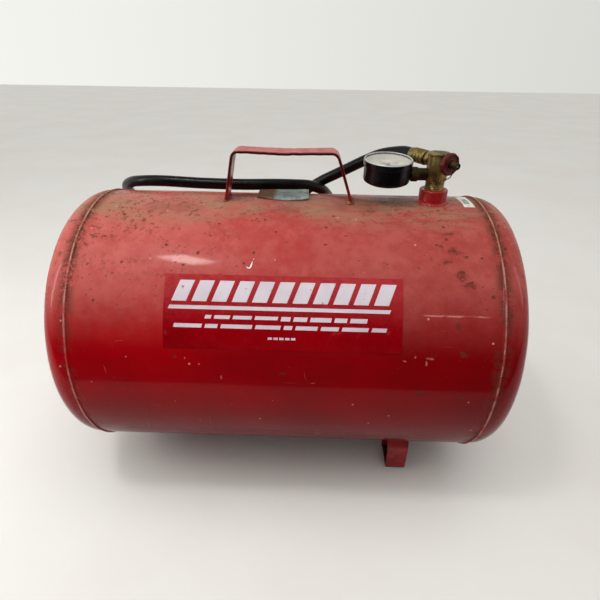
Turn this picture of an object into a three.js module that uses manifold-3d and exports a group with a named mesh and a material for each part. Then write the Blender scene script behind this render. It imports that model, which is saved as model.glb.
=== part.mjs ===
// Portable air receiver tank, about 37 litres: a welded steel vessel on three pressed feet, with a strap
// handle, and a brass manifold that carries a gauge, a shut-off knob with the fill valve through it,
// a pull-ring relief valve and a rubber hose with a tyre chuck.
//
// Millimetres, +Z up. X runs along the vessel, Y = 0 is its axis plane and -Y is the front.
// The origin is on the floor, midway between the two heads.

import * as THREE from 'three';
import { mergeVertices } from 'three/addons/utils/BufferGeometryUtils.js';
import Module from 'manifold-3d';

const wasm = await Module();
wasm.setup();

// ---------------------------------------------------------------- driving dimensions

const GAP = 0.3;                    // clearance between pieces that touch on the real tank

const SHELL_RADIUS = 152.4;         // 12 in outside diameter
const WALL = 2.3;
const FLOOR_CLEARANCE = 30;         // from the floor to the lowest line of the shell
const AXIS_Z = SHELL_RADIUS + FLOOR_CLEARANCE;
const SEAM_X = 211;                 // girth seams, from the middle
const SEAM_ANGLE = 60;              // the lengthwise seam, degrees from the bottom towards the back
const ROUND_STEPS = 48;             // facets around the vessel

const HEAD_SKIRT_END = 216;         // where each head's straight skirt turns into its knuckle
const KNUCKLE_RADIUS = 26;
const CROWN_RADIUS = 300;
const BACKING_LAP = 11;             // how far the head's joggled lip reaches into the shell

const GIRTH_BEAD_WIDTH = 6;
const GIRTH_BEAD_HEIGHT = 1.5;

const PORT_X = 159;                 // the vessel's top outlet
const BUNG_RADIUS = 15.3;           // 1/2 NPT half coupling
const BUNG_BORE = 10.6;
const BUNG_TOP = 167;               // heights of fittings are measured from the vessel's axis

const HANDLE_WIDTH = 26;
const HANDLE_THICKNESS = 3;

const FOOT_THICKNESS = 3;
const FOOT_TOP_WIDTH = 26.5;
const FOOT_BOTTOM_WIDTH = 25;
const RIGHT_FEET_X = 143.5;
const LEFT_FOOT_X = -135;

const MANIFOLD_FLATS = 20.6;        // hexagon bar, across flats
const MANIFOLD_BASE = 176.5;
const MANIFOLD_TOP = 203.3;
const LOW_PORT = 182.4;             // gauge and relief valve
const HIGH_PORT = 196.5;            // shut-off valve and hose
const PORT_FACE = MANIFOLD_FLATS / 2 + GAP;

const GAUGE_AZIMUTH = 180;          // directions of the ports, degrees from +X towards +Y
const RELIEF_AZIMUTH = 60;
const KNOB_AZIMUTH = 300;
const HOSE_AZIMUTH = 120;

const GAUGE_REACH = 53.3;           // from the manifold's axis to the dial's centre
const GAUGE_RADIUS = 25.2;
const GAUGE_TILT = 5;               // the dial leans a little to the front
const SECTOR_PIVOT = 12.8;          // from the pointer's shaft to the sector's pivot

const KNOB_RADIUS = 11.6;
const KNOB_START = 14;
const KNOB_END = 19.5;
const FILL_VALVE_END = 28.6;

const RELIEF_BODY_END = 36;
const RELIEF_EYE = 41.5;
const PULL_RING_RADIUS = 7;
const PULL_RING_WIRE = 0.7;

const HOSE_RADIUS = 6.6;
const HOSE_SIDES = 8;
const HOSE_STEPS = 60;
const FERRULE_END = 42;             // where the hose leaves its ferrule, from the manifold's axis

// Centre line of the hose: from its ferrule, over and behind the vessel, a turn at the left end, back
// along the top behind the handle, down the back to the floor and along it to the chuck.
const HOSE_ROUTE = [
  [137.8, 36.8, 378.9], [131.8, 47, 378.9], [121.5, 58.5, 376], [107, 69, 371],
  [88, 77.5, 361], [69, 83, 350], [53, 87, 341], [37, 92.5, 331.5],
  [20, 100.5, 318.5], [0, 112, 302], [-28, 124.5, 286], [-70, 136.5, 269.5],
  [-157, 145.5, 258], [-182.5, 142.5, 262.5], [-203.5, 135, 274], [-218, 121.5, 290.5],
  [-223, 103.5, 307.5], [-218, 83, 322], [-203.5, 64.5, 332.5], [-182.5, 51, 338],
  [-157, 46.5, 339.5], [-112, 45.5, 338], [-60, 45, 337.5], [-19, 46.5, 338],
  [3, 50, 337], [22, 60.5, 333.5], [36.5, 75.5, 325], [43.5, 91.5, 315.5],
  [53, 113.5, 296], [67, 139, 262.5], [82, 154.5, 225], [93, 161.5, 174.5],
  [95, 162, 120.5], [92, 164, 72.5], [83.5, 166, 42], [69, 167.5, 22],
  [49, 169, 10.5], [27, 170, 7.2], [6, 170, 8.3], [-16, 170, 8.3],
];

// ---------------------------------------------------------------- materials

const finish = (color, roughness, metalness) =>
  new THREE.MeshStandardMaterial({ color, roughness, metalness });
const redPaint = () => finish(0xa8141c, 0.35, 0.05);
const weldPaint = () => finish(0x8c1418, 0.5, 0.05);
const brass = () => finish(0xb08d4c, 0.38, 0.9);
const darkBrass = () => finish(0x6a5636, 0.5, 0.8);
const steel = () => finish(0x9a9c9e, 0.35, 0.9);
const blackPlastic = () => finish(0x1a1a1c, 0.45, 0.05);
const rubber = () => finish(0x121213, 0.7, 0);

// ---------------------------------------------------------------- solids

function toSolid(geometry) {
  const bare = geometry.clone();
  bare.deleteAttribute('normal');
  bare.deleteAttribute('uv');
  const merged = mergeVertices(bare, 1e-4);
  const points = merged.attributes.position.array;
  const corners = merged.index.array;
  const triangles = [];
  let volume = 0;
  const [a, b, c] = [new THREE.Vector3(), new THREE.Vector3(), new THREE.Vector3()];
  for (let i = 0; i < corners.length; i += 3) {
    const [p, q, r] = [corners[i], corners[i + 1], corners[i + 2]];
    if (p === q || q === r || r === p) continue;
    triangles.push([p, q, r]);
    a.fromArray(points, 3 * p);
    b.fromArray(points, 3 * q);
    c.fromArray(points, 3 * r);
    volume += a.dot(b.cross(c));
  }
  if (volume < 0) triangles.forEach((triangle) => triangle.reverse());
  return new wasm.Manifold(new wasm.Mesh({
    numProp: 3,
    vertProperties: Float32Array.from(points),
    triVerts: Uint32Array.from(triangles.flat()),
  }));
}

function toGeometry(solid) {
  const mesh = solid.getMesh();
  const geometry = new THREE.BufferGeometry();
  geometry.setAttribute('position', new THREE.BufferAttribute(mesh.vertProperties, 3));
  geometry.setIndex(new THREE.BufferAttribute(mesh.triVerts, 1));
  return geometry;
}

const join = (first, ...others) =>
  toGeometry(others.reduce((solid, other) => solid.add(toSolid(other)), toSolid(first)));
const cut = (first, ...others) =>
  toGeometry(others.reduce((solid, other) => solid.subtract(toSolid(other)), toSolid(first)));
const common = (first, other) => toGeometry(toSolid(first).intersect(toSolid(other)));

// A solid of revolution about +X from a closed outline of [x, radius] points.
function turned(outline, steps = 24) {
  const points = outline.map(([x, radius]) => new THREE.Vector2(radius, x));
  points.push(points[0].clone());
  return new THREE.LatheGeometry(points, steps).rotateZ(-Math.PI / 2);
}

// The same about +Z, from [z, radius] points.
const turnedUp = (outline, steps = 24) => turned(outline, steps).rotateY(-Math.PI / 2);

const rod = (radius, from, to, steps = 16) =>
  turned([[from, 0], [from, radius], [to, radius], [to, 0]], steps);
const sleeve = (inner, outer, from, to, steps = 16) =>
  turned([[from, inner], [from, outer], [to, outer], [to, inner]], steps);
const rodUp = (radius, from, to, steps = 16) => rod(radius, from, to, steps).rotateY(-Math.PI / 2);

// A hexagon nut or bar along X, with flats top and bottom.
const hexagon = (flats, from, to) =>
  rod(flats / Math.sqrt(3), from, to, 6).rotateX(Math.PI / 2);

const box = (width, depth, height) => new THREE.BoxGeometry(width, depth, height);

// A flat outline of [x, y] points raised along +Z.
function plate(outline, thickness) {
  const shape = new THREE.Shape(outline.map(([x, y]) => new THREE.Vector2(x, y)));
  return new THREE.ExtrudeGeometry(shape, { depth: thickness, bevelEnabled: false });
}

// A bent strap: its centre line as [u, v] corners, rounded, then given thickness and width.
// The result has u along X, v along Y and its width centred on Z.
function strap(corners, bendTrim, thickness, width) {
  const path = new THREE.Path();
  path.moveTo(...corners[0]);
  for (let i = 1; i < corners.length - 1; i += 1) {
    const corner = new THREE.Vector2(...corners[i]);
    const before = corner.clone().sub(new THREE.Vector2(...corners[i - 1])).setLength(bendTrim);
    const after = new THREE.Vector2(...corners[i + 1]).sub(corner).setLength(bendTrim);
    path.lineTo(corner.x - before.x, corner.y - before.y);
    path.quadraticCurveTo(corner.x, corner.y, corner.x + after.x, corner.y + after.y);
  }
  path.lineTo(...corners.at(-1));
  const line = path.getPoints(5).filter((p, i, all) => i === 0 || p.distanceTo(all[i - 1]) > 0.01);
  const sides = line.map((p, i) => {
    const along = line[Math.min(i + 1, line.length - 1)].clone().sub(line[Math.max(i - 1, 0)]).normalize();
    const across = new THREE.Vector2(-along.y, along.x).multiplyScalar(thickness / 2);
    return [p.clone().add(across), p.clone().sub(across)];
  });
  const outline = [...sides.map((s) => s[0]), ...sides.map((s) => s[1]).reverse()];
  const shape = new THREE.Shape(outline);
  return new THREE.ExtrudeGeometry(shape, { depth: width, bevelEnabled: false })
    .translate(0, 0, -width / 2);
}

// A helical spring along X.
function spring(radius, wire, from, to, turns) {
  class Helix extends THREE.Curve {
    getPoint(t, target = new THREE.Vector3()) {
      const angle = 2 * Math.PI * turns * t;
      return target.set(from + (to - from) * t, radius * Math.cos(angle), radius * Math.sin(angle));
    }
  }
  const section = new THREE.Shape();
  section.absarc(0, 0, wire, 0, 2 * Math.PI);
  return new THREE.ExtrudeGeometry(section, {
    extrudePath: new Helix(), steps: turns * 7, curveSegments: 2, bevelEnabled: false,
  });
}

// A toothed outline around the origin, over the whole circle or an arc of it, closed by its inner rim.
function toothed(count, root, tip, pitchAngle, startAngle) {
  const outline = [];
  for (let i = 0; i < count; i += 1) {
    const middle = startAngle + i * pitchAngle;
    [[-0.36, root], [-0.14, tip], [0.14, tip], [0.36, root]].forEach(([step, radius]) => {
      const angle = middle + step * pitchAngle;
      outline.push([radius * Math.cos(angle), radius * Math.sin(angle)]);
    });
  }
  return outline;
}

// ---------------------------------------------------------------- the assembly's groups

const tank = new THREE.Group();
tank.name = 'air_receiver_tank';

const onAxis = new THREE.Group();   // origin on the vessel's axis
onAxis.position.z = AXIS_Z;
tank.add(onAxis);

function part(name, geometry, material, parent) {
  const mesh = new THREE.Mesh(toGeometry(toSolid(geometry)), material);
  mesh.name = name;
  parent.add(mesh);
}

// A group whose +X points straight out of one of the manifold's ports.
function portGroup(azimuth, level) {
  const group = new THREE.Group();
  group.position.set(PORT_X, 0, level);
  group.rotation.z = THREE.MathUtils.degToRad(azimuth);
  onAxis.add(group);
  return group;
}

// ---------------------------------------------------------------- vessel

// The space that nothing welded on the outside may enter.
const shellEnvelope = () => rod(SHELL_RADIUS + GAP, -SEAM_X - 60, SEAM_X + 60, ROUND_STEPS);

function buildShell() {
  const end = SEAM_X - GAP / 2;
  const tube = sleeve(SHELL_RADIUS - WALL, SHELL_RADIUS, -end, end, ROUND_STEPS);
  const outlet = rodUp(BUNG_RADIUS + GAP, 120, 170, 24).translate(PORT_X, 0, 0);
  part('shell', cut(tube, outlet), redPaint(), onAxis);

  const bead = rod(2.6, -SEAM_X + 6, SEAM_X - 6, 10).translate(0, 0, -SHELL_RADIUS)
    .rotateX(THREE.MathUtils.degToRad(SEAM_ANGLE));
  part('shell_seam_weld', cut(bead, shellEnvelope()), weldPaint(), onAxis);
}

// Outline of a dished head: straight skirt, knuckle arc, crown arc, down to the axis.
function headOutline(radius, knuckle, crown, skirtEnd, steps) {
  const crownCentre = skirtEnd - Math.sqrt((crown - knuckle) ** 2 - (radius - knuckle) ** 2);
  const meeting = Math.atan2(radius - knuckle, skirtEnd - crownCentre);
  const outline = [];
  for (let i = 0; i <= steps; i += 1) {
    const angle = Math.PI / 2 + (meeting - Math.PI / 2) * (i / steps);
    outline.push([skirtEnd + knuckle * Math.cos(angle), radius - knuckle + knuckle * Math.sin(angle)]);
  }
  for (let i = 1; i <= steps; i += 1) {
    const angle = meeting * (1 - i / steps);
    outline.push([crownCentre + crown * Math.cos(angle), i === steps ? 0 : crown * Math.sin(angle)]);
  }
  return outline;
}

function buildHead(side, name) {
  const start = SEAM_X + GAP / 2;
  const lipRadius = SHELL_RADIUS - WALL - GAP;
  const outer = headOutline(SHELL_RADIUS, KNUCKLE_RADIUS, CROWN_RADIUS, HEAD_SKIRT_END, 4);
  const inner = headOutline(
    SHELL_RADIUS - WALL, KNUCKLE_RADIUS - WALL, CROWN_RADIUS - WALL, HEAD_SKIRT_END, 2);
  const outline = [
    [start, SHELL_RADIUS], ...outer, ...inner.reverse(),
    [start + 2, lipRadius - WALL], [start - BACKING_LAP, lipRadius - WALL],
    [start - BACKING_LAP, lipRadius], [start, lipRadius],
  ];
  const head = turned(outline, ROUND_STEPS);
  if (side < 0) head.scale(-1, 1, 1);
  part(name, head, redPaint(), onAxis);
}

function buildGirthWeld(side, name) {
  const base = SHELL_RADIUS + GAP;
  const half = GIRTH_BEAD_WIDTH / 2;
  const bead = turned([
    [-half, base], [-half / 2, base + GIRTH_BEAD_HEIGHT], [half / 2, base + GIRTH_BEAD_HEIGHT], [half, base],
  ], ROUND_STEPS).translate(side * SEAM_X, 0, 0);
  part(name, bead, weldPaint(), onAxis);
}

function buildBung() {
  const bung = turnedUp([
    [147, BUNG_BORE], [147, BUNG_RADIUS], [BUNG_TOP - 1, BUNG_RADIUS],
    [BUNG_TOP, BUNG_RADIUS - 1], [BUNG_TOP, BUNG_BORE],
  ], 24).translate(PORT_X, 0, 0);
  part('port_bung', bung, redPaint(), onAxis);

  const inner = BUNG_RADIUS + GAP;
  const fillet = turnedUp([
    [140, inner], [140, inner + 4.2], [SHELL_RADIUS + 0.8, inner + 4.2], [SHELL_RADIUS + 2, inner + 2.2],
    [SHELL_RADIUS + 4.6, inner + 0.6], [SHELL_RADIUS + 4.6, inner],
  ], 24).translate(PORT_X, 0, 0);
  part('bung_weld', cut(fillet, shellEnvelope()), weldPaint(), onAxis);
}

// A low bead around the end of a strap, before the shell is cut out of it.
function weldCollar(width, thickness, bead, height) {
  const reach = bead * 2;
  const collar = join(
    box(thickness + reach, width + reach * 0.7, height * 0.5).translate(0, 0, -height * 0.25),
    box(thickness + reach * 0.6, width + reach * 0.4, height).translate(0, 0, 0),
  );
  return cut(collar, box(thickness + 2 * GAP, width + 2 * GAP, height * 4));
}

// ---------------------------------------------------------------- handle, feet, plates

// The legs lean outwards, the right one more than the left, and the grip sags a little.
const HANDLE_LINE = [[-72.3, 142], [-60.3, 204.9], [-5, 203.1], [50.8, 204.6], [71.8, 142]];
const HANDLE_BEND = 7;

function buildHandle() {
  const bar = strap(HANDLE_LINE, HANDLE_BEND, HANDLE_THICKNESS, HANDLE_WIDTH).rotateX(Math.PI / 2);
  part('handle', cut(bar, shellEnvelope()), redPaint(), onAxis);

  [['handle_weld_left', 0, 1], ['handle_weld_right', 4, 3]].forEach(([name, end, corner]) => {
    const [foot, top] = [HANDLE_LINE[end], HANDLE_LINE[corner]];
    const rise = (SHELL_RADIUS - foot[1]) / (top[1] - foot[1]);
    const x = foot[0] + (top[0] - foot[0]) * rise;
    const lean = Math.atan2(top[0] - foot[0], top[1] - foot[1]);
    const collar = weldCollar(HANDLE_WIDTH, HANDLE_THICKNESS, 2.4, 5)
      .rotateY(lean).translate(x, 0, SHELL_RADIUS);
    part(name, cut(collar, shellEnvelope()), weldPaint(), onAxis);
  });
}

// A foot is a strap bent to a U and welded on by its two ends; it narrows towards the floor.
function buildFoot(name, x, line) {
  const toYZ = new THREE.Matrix4().makeBasis(
    new THREE.Vector3(0, 1, 0), new THREE.Vector3(0, 0, 1), new THREE.Vector3(1, 0, 0));
  const bar = strap(line, 4, FOOT_THICKNESS, FOOT_TOP_WIDTH + 4).applyMatrix4(toYZ);
  const [top, bottom] = [-110, -AXIS_Z - 2];
  const taper = plate([
    [-FOOT_TOP_WIDTH / 2 - 0.6, top], [-FOOT_BOTTOM_WIDTH / 2, bottom],
    [FOOT_BOTTOM_WIDTH / 2, bottom], [FOOT_TOP_WIDTH / 2 + 0.6, top],
  ], 400).rotateX(Math.PI / 2).translate(0, 200, 0);
  const foot = common(bar, taper).translate(x, 0, 0);
  part(name, cut(foot, shellEnvelope()), redPaint(), onAxis);
}

function buildFeet() {
  const sole = -AXIS_Z + FOOT_THICKNESS / 2;
  const frontLine = [[-75, -122], [-86, -147], [-85.5, sole], [-48, sole], [-40, -138]];
  buildFoot('front_foot', RIGHT_FEET_X, frontLine);
  buildFoot('rear_foot', RIGHT_FEET_X, frontLine.map(([y, z]) => [-y, z]).reverse());
  buildFoot('left_foot', LEFT_FOOT_X, [[-29, -140], [-24, sole], [24, sole], [29, -140]]);
}

// A thin curved sheet on the shell between two angles from the top, positive to the back.
function curvedSheet(fromAngle, toAngle, fromX, toX, lift, thickness) {
  const outline = [];
  const steps = 8;
  const at = (radius, i) => {
    const angle = THREE.MathUtils.degToRad(fromAngle + (toAngle - fromAngle) * (i / steps));
    return [radius * Math.sin(angle), radius * Math.cos(angle)];
  };
  for (let i = 0; i <= steps; i += 1) outline.push(at(SHELL_RADIUS + lift, i));
  for (let i = steps; i >= 0; i -= 1) outline.push(at(SHELL_RADIUS + lift + thickness, i));
  const toYZ = new THREE.Matrix4().makeBasis(
    new THREE.Vector3(0, 1, 0), new THREE.Vector3(0, 0, 1), new THREE.Vector3(1, 0, 0));
  return plate(outline, toX - fromX).applyMatrix4(toYZ).translate(fromX, 0, 0);
}

function buildPlates() {
  part('data_plate', curvedSheet(-3, 12.5, -37, 21, 0.5, 0.8), finish(0x7e8a80, 0.45, 0.7), onAxis);
  part('inspection_label', curvedSheet(-6, 9, 191, 202.5, 0.35, 0.35), finish(0xe6e6e0, 0.6, 0), onAxis);
}

// ---------------------------------------------------------------- manifold

function buildManifold() {
  const shank = 10.3;
  const bar = rodUp(MANIFOLD_FLATS / Math.sqrt(3), MANIFOLD_BASE, MANIFOLD_TOP, 6).rotateZ(Math.PI / 6);
  const neck = turnedUp([[156, 0], [156, shank - 0.8], [158, shank], [MANIFOLD_BASE + 1, shank],
    [MANIFOLD_BASE + 1, 0]], 24);
  const bore = rodUp(4, 150, HIGH_PORT + 2);
  const portBores = [
    rod(7, 6, 20).rotateZ(THREE.MathUtils.degToRad(GAUGE_AZIMUTH)).translate(0, 0, LOW_PORT),
    rod(4.7, 5, 20).rotateZ(THREE.MathUtils.degToRad(RELIEF_AZIMUTH)).translate(0, 0, LOW_PORT),
    rod(6.2, 6, 20).rotateZ(THREE.MathUtils.degToRad(KNOB_AZIMUTH)).translate(0, 0, HIGH_PORT),
    rod(6.2, 8, 20).rotateZ(THREE.MathUtils.degToRad(HOSE_AZIMUTH)).translate(0, 0, HIGH_PORT),
    rod(3.4, -12, 12).rotateZ(THREE.MathUtils.degToRad(HOSE_AZIMUTH)).translate(0, 0, HIGH_PORT),
    rod(2.2, -8, 8).rotateZ(THREE.MathUtils.degToRad(GAUGE_AZIMUTH)).translate(0, 0, LOW_PORT),
    rod(2.2, 0, 8).rotateZ(THREE.MathUtils.degToRad(RELIEF_AZIMUTH)).translate(0, 0, LOW_PORT),
  ];
  const body = cut(join(bar, neck), bore, ...portBores).translate(PORT_X, 0, 0);
  part('manifold_body', body, brass(), onAxis);

  const cap = turnedUp([[MANIFOLD_TOP + GAP, 0], [MANIFOLD_TOP + GAP, 12], [MANIFOLD_TOP + 1.8, 12.2],
    [MANIFOLD_TOP + 2.3, 11.6], [MANIFOLD_TOP + 2.3, 0]], 24).translate(PORT_X, 0, 0);
  part('manifold_cap', cap, brass(), onAxis);
}

// The knob turns the valve; the fill valve's stem runs through the knob's centre and turns with it.
function buildShutoff() {
  const port = portGroup(KNOB_AZIMUTH, HIGH_PORT);
  const nut = cut(join(hexagon(13.2, PORT_FACE, KNOB_START - GAP), rod(5.9, 6.4, PORT_FACE + 1)),
    rod(4.3, 0, 20));
  part('shutoff_bonnet', nut, brass(), port);

  const scallops = 10;
  const rim = [];
  for (let i = 0; i < scallops * 5; i += 1) {
    const angle = (2 * Math.PI * i) / (scallops * 5);
    const radius = KNOB_RADIUS - 0.55 + 0.55 * Math.cos(scallops * angle);
    rim.push([radius * Math.cos(angle), radius * Math.sin(angle)]);
  }
  const disc = plate(rim, KNOB_END - KNOB_START).rotateY(Math.PI / 2).translate(KNOB_START, 0, 0);
  const dish = turned([[KNOB_END - 1.2, 6], [KNOB_END - 1.2, 8.6], [KNOB_END + 1, 9.6],
    [KNOB_END + 1, 6]], 30);
  part('shutoff_knob', cut(disc, dish, rod(4.3, 0, 40)), finish(0xb0202a, 0.45, 0.05), port);

  const stem = turned([[7.4, 1.3], [7.4, 4], [24, 4], [24.4, 3.85], [FILL_VALVE_END - 0.6, 3.85],
    [FILL_VALVE_END, 3.4], [FILL_VALVE_END, 2.6], [12.6, 2.6], [12.6, 1.3]], 18);
  part('fill_valve_stem', stem, brass(), port);
  part('fill_valve_core', sleeve(1.15, 2.3, 21, 27), brass(), port);
  const pin = join(rod(0.8, 14.5, 27.9), rod(2.1, 19.5, 20.7));
  part('fill_valve_pin', pin, steel(), port);
  part('fill_valve_spring', spring(1.75, 0.22, 13.1, 17.6, 4), steel(), port);

  const plunger = cut(join(rod(3.1, -5.5, -4), rod(1.7, -5.5, 4), rod(3.1, 3, 6)), rod(1.1, -10, 10));
  part('shutoff_plunger', plunger, brass(), port);
}

function buildHoseFitting() {
  const port = portGroup(HOSE_AZIMUTH, HIGH_PORT);
  const fitting = cut(join(hexagon(13.2, PORT_FACE, 15.5), rod(5.9, 8.4, PORT_FACE + 1), rod(5.4, 15, 17.2)),
    rod(2.6, 0, 30));
  part('hose_fitting', fitting, brass(), port);

  const ribs = [[17.5, 7.4]];
  for (let x = 19; x < FERRULE_END - 3; x += 5) ribs.push([x, 8.1], [x + 2.5, 8.1], [x + 3.3, 7.5]);
  ribs.push([FERRULE_END, 7.3]);
  const outline = [[17.5, 3], ...ribs, [FERRULE_END, 3]];
  part('hose_ferrule', turned(outline, 18), brass(), port);
}

function buildReliefValve() {
  const port = portGroup(RELIEF_AZIMUTH, LOW_PORT);
  const shell = turned([[5.6, 2.4], [5.6, 4.4], [PORT_FACE, 4.4], [PORT_FACE, 6.2], [20, 6.2], [20.6, 5.9],
    [RELIEF_BODY_END - 1, 5.9], [RELIEF_BODY_END, 5.2], [RELIEF_BODY_END, 4.3], [14.5, 4.3], [13, 2.4]], 20);
  part('relief_valve_body', join(shell, cut(hexagon(13, PORT_FACE, 18), rod(5, 0, 40))), brass(), port);

  const eye = RELIEF_EYE;
  const rodAndDisc = join(rod(1.5, 16, eye - 1), rod(3.7, 14.9, 16.4),
    box(6, 2, 5.2).translate(eye, 0, 0));
  const stem = cut(rodAndDisc, rodUp(1.15, -5, 5).rotateX(Math.PI / 2).translate(eye, 0, 0));
  part('relief_stem', stem, brass(), port);
  part('relief_spring', spring(2.7, 0.35, 19.9, 32.7, 6), steel(), port);
  part('relief_cap', sleeve(1.9, 4, 33.4, 35.6), brass(), port);

  const ring = new THREE.TorusGeometry(PULL_RING_RADIUS, PULL_RING_WIRE, 6, 28)
    .rotateY(Math.PI / 2).translate(eye, 0, -PULL_RING_RADIUS);
  part('relief_pull_ring', ring, steel(), port);
}

// ---------------------------------------------------------------- gauge

function buildGauge() {
  const port = portGroup(GAUGE_AZIMUTH, LOW_PORT);
  const tilted = new THREE.Group();
  tilted.rotation.x = THREE.MathUtils.degToRad(-GAUGE_TILT);
  port.add(tilted);
  const gauge = new THREE.Group();  // origin at the dial's centre, level with the stem's axis
  gauge.position.x = GAUGE_REACH;
  tilted.add(gauge);

  const wallStart = GAUGE_REACH - GAUGE_RADIUS;
  const socket = join(
    rod(6.7, 6.6, 20.4), hexagon(14, 20, wallStart - GAP), rod(4.6, 20, wallStart + 5),
    box(7, 11, 7).translate(wallStart + 7.5, 0, 0),
  );
  part('gauge_socket', cut(socket, rod(1.6, 0, wallStart + 6)), darkBrass(), tilted);

  const cup = turnedUp([[-9, 0], [-9, GAUGE_RADIUS - 1.2], [-8, GAUGE_RADIUS], [13.5, GAUGE_RADIUS],
    [13.5, GAUGE_RADIUS - 1.3], [-7.5, GAUGE_RADIUS - 1.3], [-7.5, 0]], 36);
  part('gauge_case', cut(cup, rod(5, -40, -15)), blackPlastic(), gauge);

  const outer = GAUGE_RADIUS + GAP;
  const bezel = turnedUp([[9.5, outer], [9.5, outer + 0.9], [15.6, outer + 0.9], [16.4, outer],
    [16.4, 22.8], [15.2, 22.6], [15.2, outer]], 36);
  part('gauge_bezel', bezel, finish(0xc9c9c6, 0.3, 0.7), gauge);
  part('gauge_lens', rodUp(GAUGE_RADIUS - 0.1, 13.8, 14.9, 36), finish(0xdfe8ea, 0.05, 0), gauge);
  part('gauge_dial', cut(rodUp(23.4, 7, 7.7, 36), rodUp(1.5, 5, 9)), finish(0xd8d8d2, 0.55, 0), gauge);

  buildMovement(gauge);
}

function buildMovement(gauge) {
  const needle = join(
    plate([[-7, -1.3], [4, -0.9], [18, -0.25], [18, 0.25], [4, 0.9], [-7, 1.3]], 0.6).translate(0, 0, 9),
    rodUp(2.3, 8.7, 10.4),
  );
  const start = THREE.MathUtils.degToRad(135);
  part('gauge_pointer', cut(needle, rodUp(0.95, 8, 9.9)).rotateZ(start), finish(0x151515, 0.5, 0), gauge);

  const pinionTeeth = 10;
  const pinionPitch = (2 * Math.PI) / pinionTeeth;
  const pinion = join(rodUp(0.65, -3.4, 9.6, 12),
    plate(toothed(pinionTeeth, 1.35, 2.2, pinionPitch, -Math.PI / 2 + pinionPitch / 2), 2));
  part('gauge_pinion', pinion, brass(), gauge);

  const sectorTeeth = 9;
  const sectorPitch = (2 * Math.PI) / 54;
  const teeth = toothed(sectorTeeth, 10.25, 11, sectorPitch, Math.PI / 2 - 4 * sectorPitch);
  const sector = join(
    plate([[-0.8, -1], [0.8, -1], ...teeth], 1.6),
    rodUp(1.9, 0, 1.6, 16),
    plate([[-1.2, 0], [-1.3, -4.2], [1.3, -4.2], [1.2, 0]], 1.6),
  ).translate(0, -SECTOR_PIVOT, 0.2);
  const pivotHole = rodUp(1, -5, 5, 16).translate(0, -SECTOR_PIVOT, 0);
  part('gauge_sector', cut(sector, pivotHole), brass(), gauge);

  const link = plate([[-0.8, -20], [0.8, -20], [0.8, -15.4], [-0.8, -15.4]], 0.6).translate(0, 0, -0.75);
  part('gauge_link', link, brass(), gauge);

  const frame = (z, thickness) => box(12, 19.5, thickness).translate(0, -5.75, z);
  const holes = rodUp(1, -8, 8, 16);
  const movement = cut(
    join(frame(-4.4, 0.9), frame(4.6, 0.9), rodUp(1.2, -4.4, 4.6, 12).translate(4.6, 2.4, 0),
      rodUp(1.2, -4.4, 4.6, 12).translate(-4.6, 2.4, 0),
      rodUp(0.65, -4.4, 4.6, 12).translate(0, -SECTOR_PIVOT, 0)),
    holes,
  );
  part('gauge_movement_frame', movement, brass(), gauge);

  const tubeRadius = 19.4;
  class Arc extends THREE.Curve {
    getPoint(t, target = new THREE.Vector3()) {
      const angle = THREE.MathUtils.degToRad(161.5 - 251.5 * t);
      return target.set(tubeRadius * Math.cos(angle), tubeRadius * Math.sin(angle), 2.9);
    }
  }
  const section = new THREE.Shape();
  section.absellipse(0, 0, 2.3, 1, 0, 2 * Math.PI);
  const bore = new THREE.Path();
  bore.absellipse(0, 0, 1.9, 0.6, 0, 2 * Math.PI);
  section.holes.push(bore);
  const tube = new THREE.ExtrudeGeometry(section, {
    extrudePath: new Arc(), steps: 22, curveSegments: 2, bevelEnabled: false,
  });
  part('gauge_bourdon_tube', tube, brass(), gauge);
}

// ---------------------------------------------------------------- hose and chuck

function buildHose() {
  const points = HOSE_ROUTE.map(([x, y, z]) => new THREE.Vector3(x, y, z));
  const route = new THREE.CatmullRomCurve3(points, false, 'centripetal');
  const section = new THREE.Shape();
  for (let i = 0; i < HOSE_SIDES; i += 1) {
    const angle = (2 * Math.PI * i) / HOSE_SIDES;
    const corner = [HOSE_RADIUS * Math.cos(angle), HOSE_RADIUS * Math.sin(angle)];
    if (i === 0) section.moveTo(...corner);
    else section.lineTo(...corner);
  }
  const sweep = { extrudePath: route, steps: HOSE_STEPS, bevelEnabled: false };
  part('hose', new THREE.ExtrudeGeometry(section, sweep), rubber(), tank);
}

// The chuck lies on the floor behind the vessel, in line with the hose's end.
function buildChuck() {
  const end = new THREE.Vector3(...HOSE_ROUTE.at(-1));
  const before = new THREE.Vector3(...HOSE_ROUTE.at(-2));
  const chuck = new THREE.Group();
  chuck.position.copy(end);
  chuck.rotation.z = Math.atan2(end.y - before.y, end.x - before.x);
  tank.add(chuck);

  const ferrule = turned([[GAP, 3], [GAP, 7.4], [2, 8], [20, 8], [22, 7.2], [22, 3]], 20);
  part('chuck_ferrule', ferrule, brass(), chuck);
  const body = turned([[22.3, 2], [22.3, 6.2], [28, 6.2], [29, 7.6], [44, 7.6], [46, 6.4], [52, 6.4],
    [53, 7.9], [62, 7.9], [63, 7], [63, 4.4], [51.5, 4.4], [51.5, 3], [34, 3], [34, 2]], 20);
  part('air_chuck', body, finish(0xb9b4a4, 0.3, 0.9), chuck);
  part('chuck_seal', sleeve(2.1, 4.1, 51.8, 54.2), rubber(), chuck);
  const pin = join(rod(1.4, 46, 56), rod(2.6, 44.5, 47));
  part('chuck_pin', pin, steel(), chuck);
  part('chuck_spring', spring(2, 0.35, 34.8, 42.5, 4), steel(), chuck);
}

// ---------------------------------------------------------------- the whole tank

buildShell();
buildHead(-1, 'left_head');
buildHead(1, 'right_head');
buildGirthWeld(-1, 'left_seam_weld');
buildGirthWeld(1, 'right_seam_weld');
buildBung();
buildHandle();
buildFeet();
buildPlates();
buildManifold();
buildShutoff();
buildHoseFitting();
buildReliefValve();
buildGauge();
buildHose();
buildChuck();

export default tank;
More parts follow.
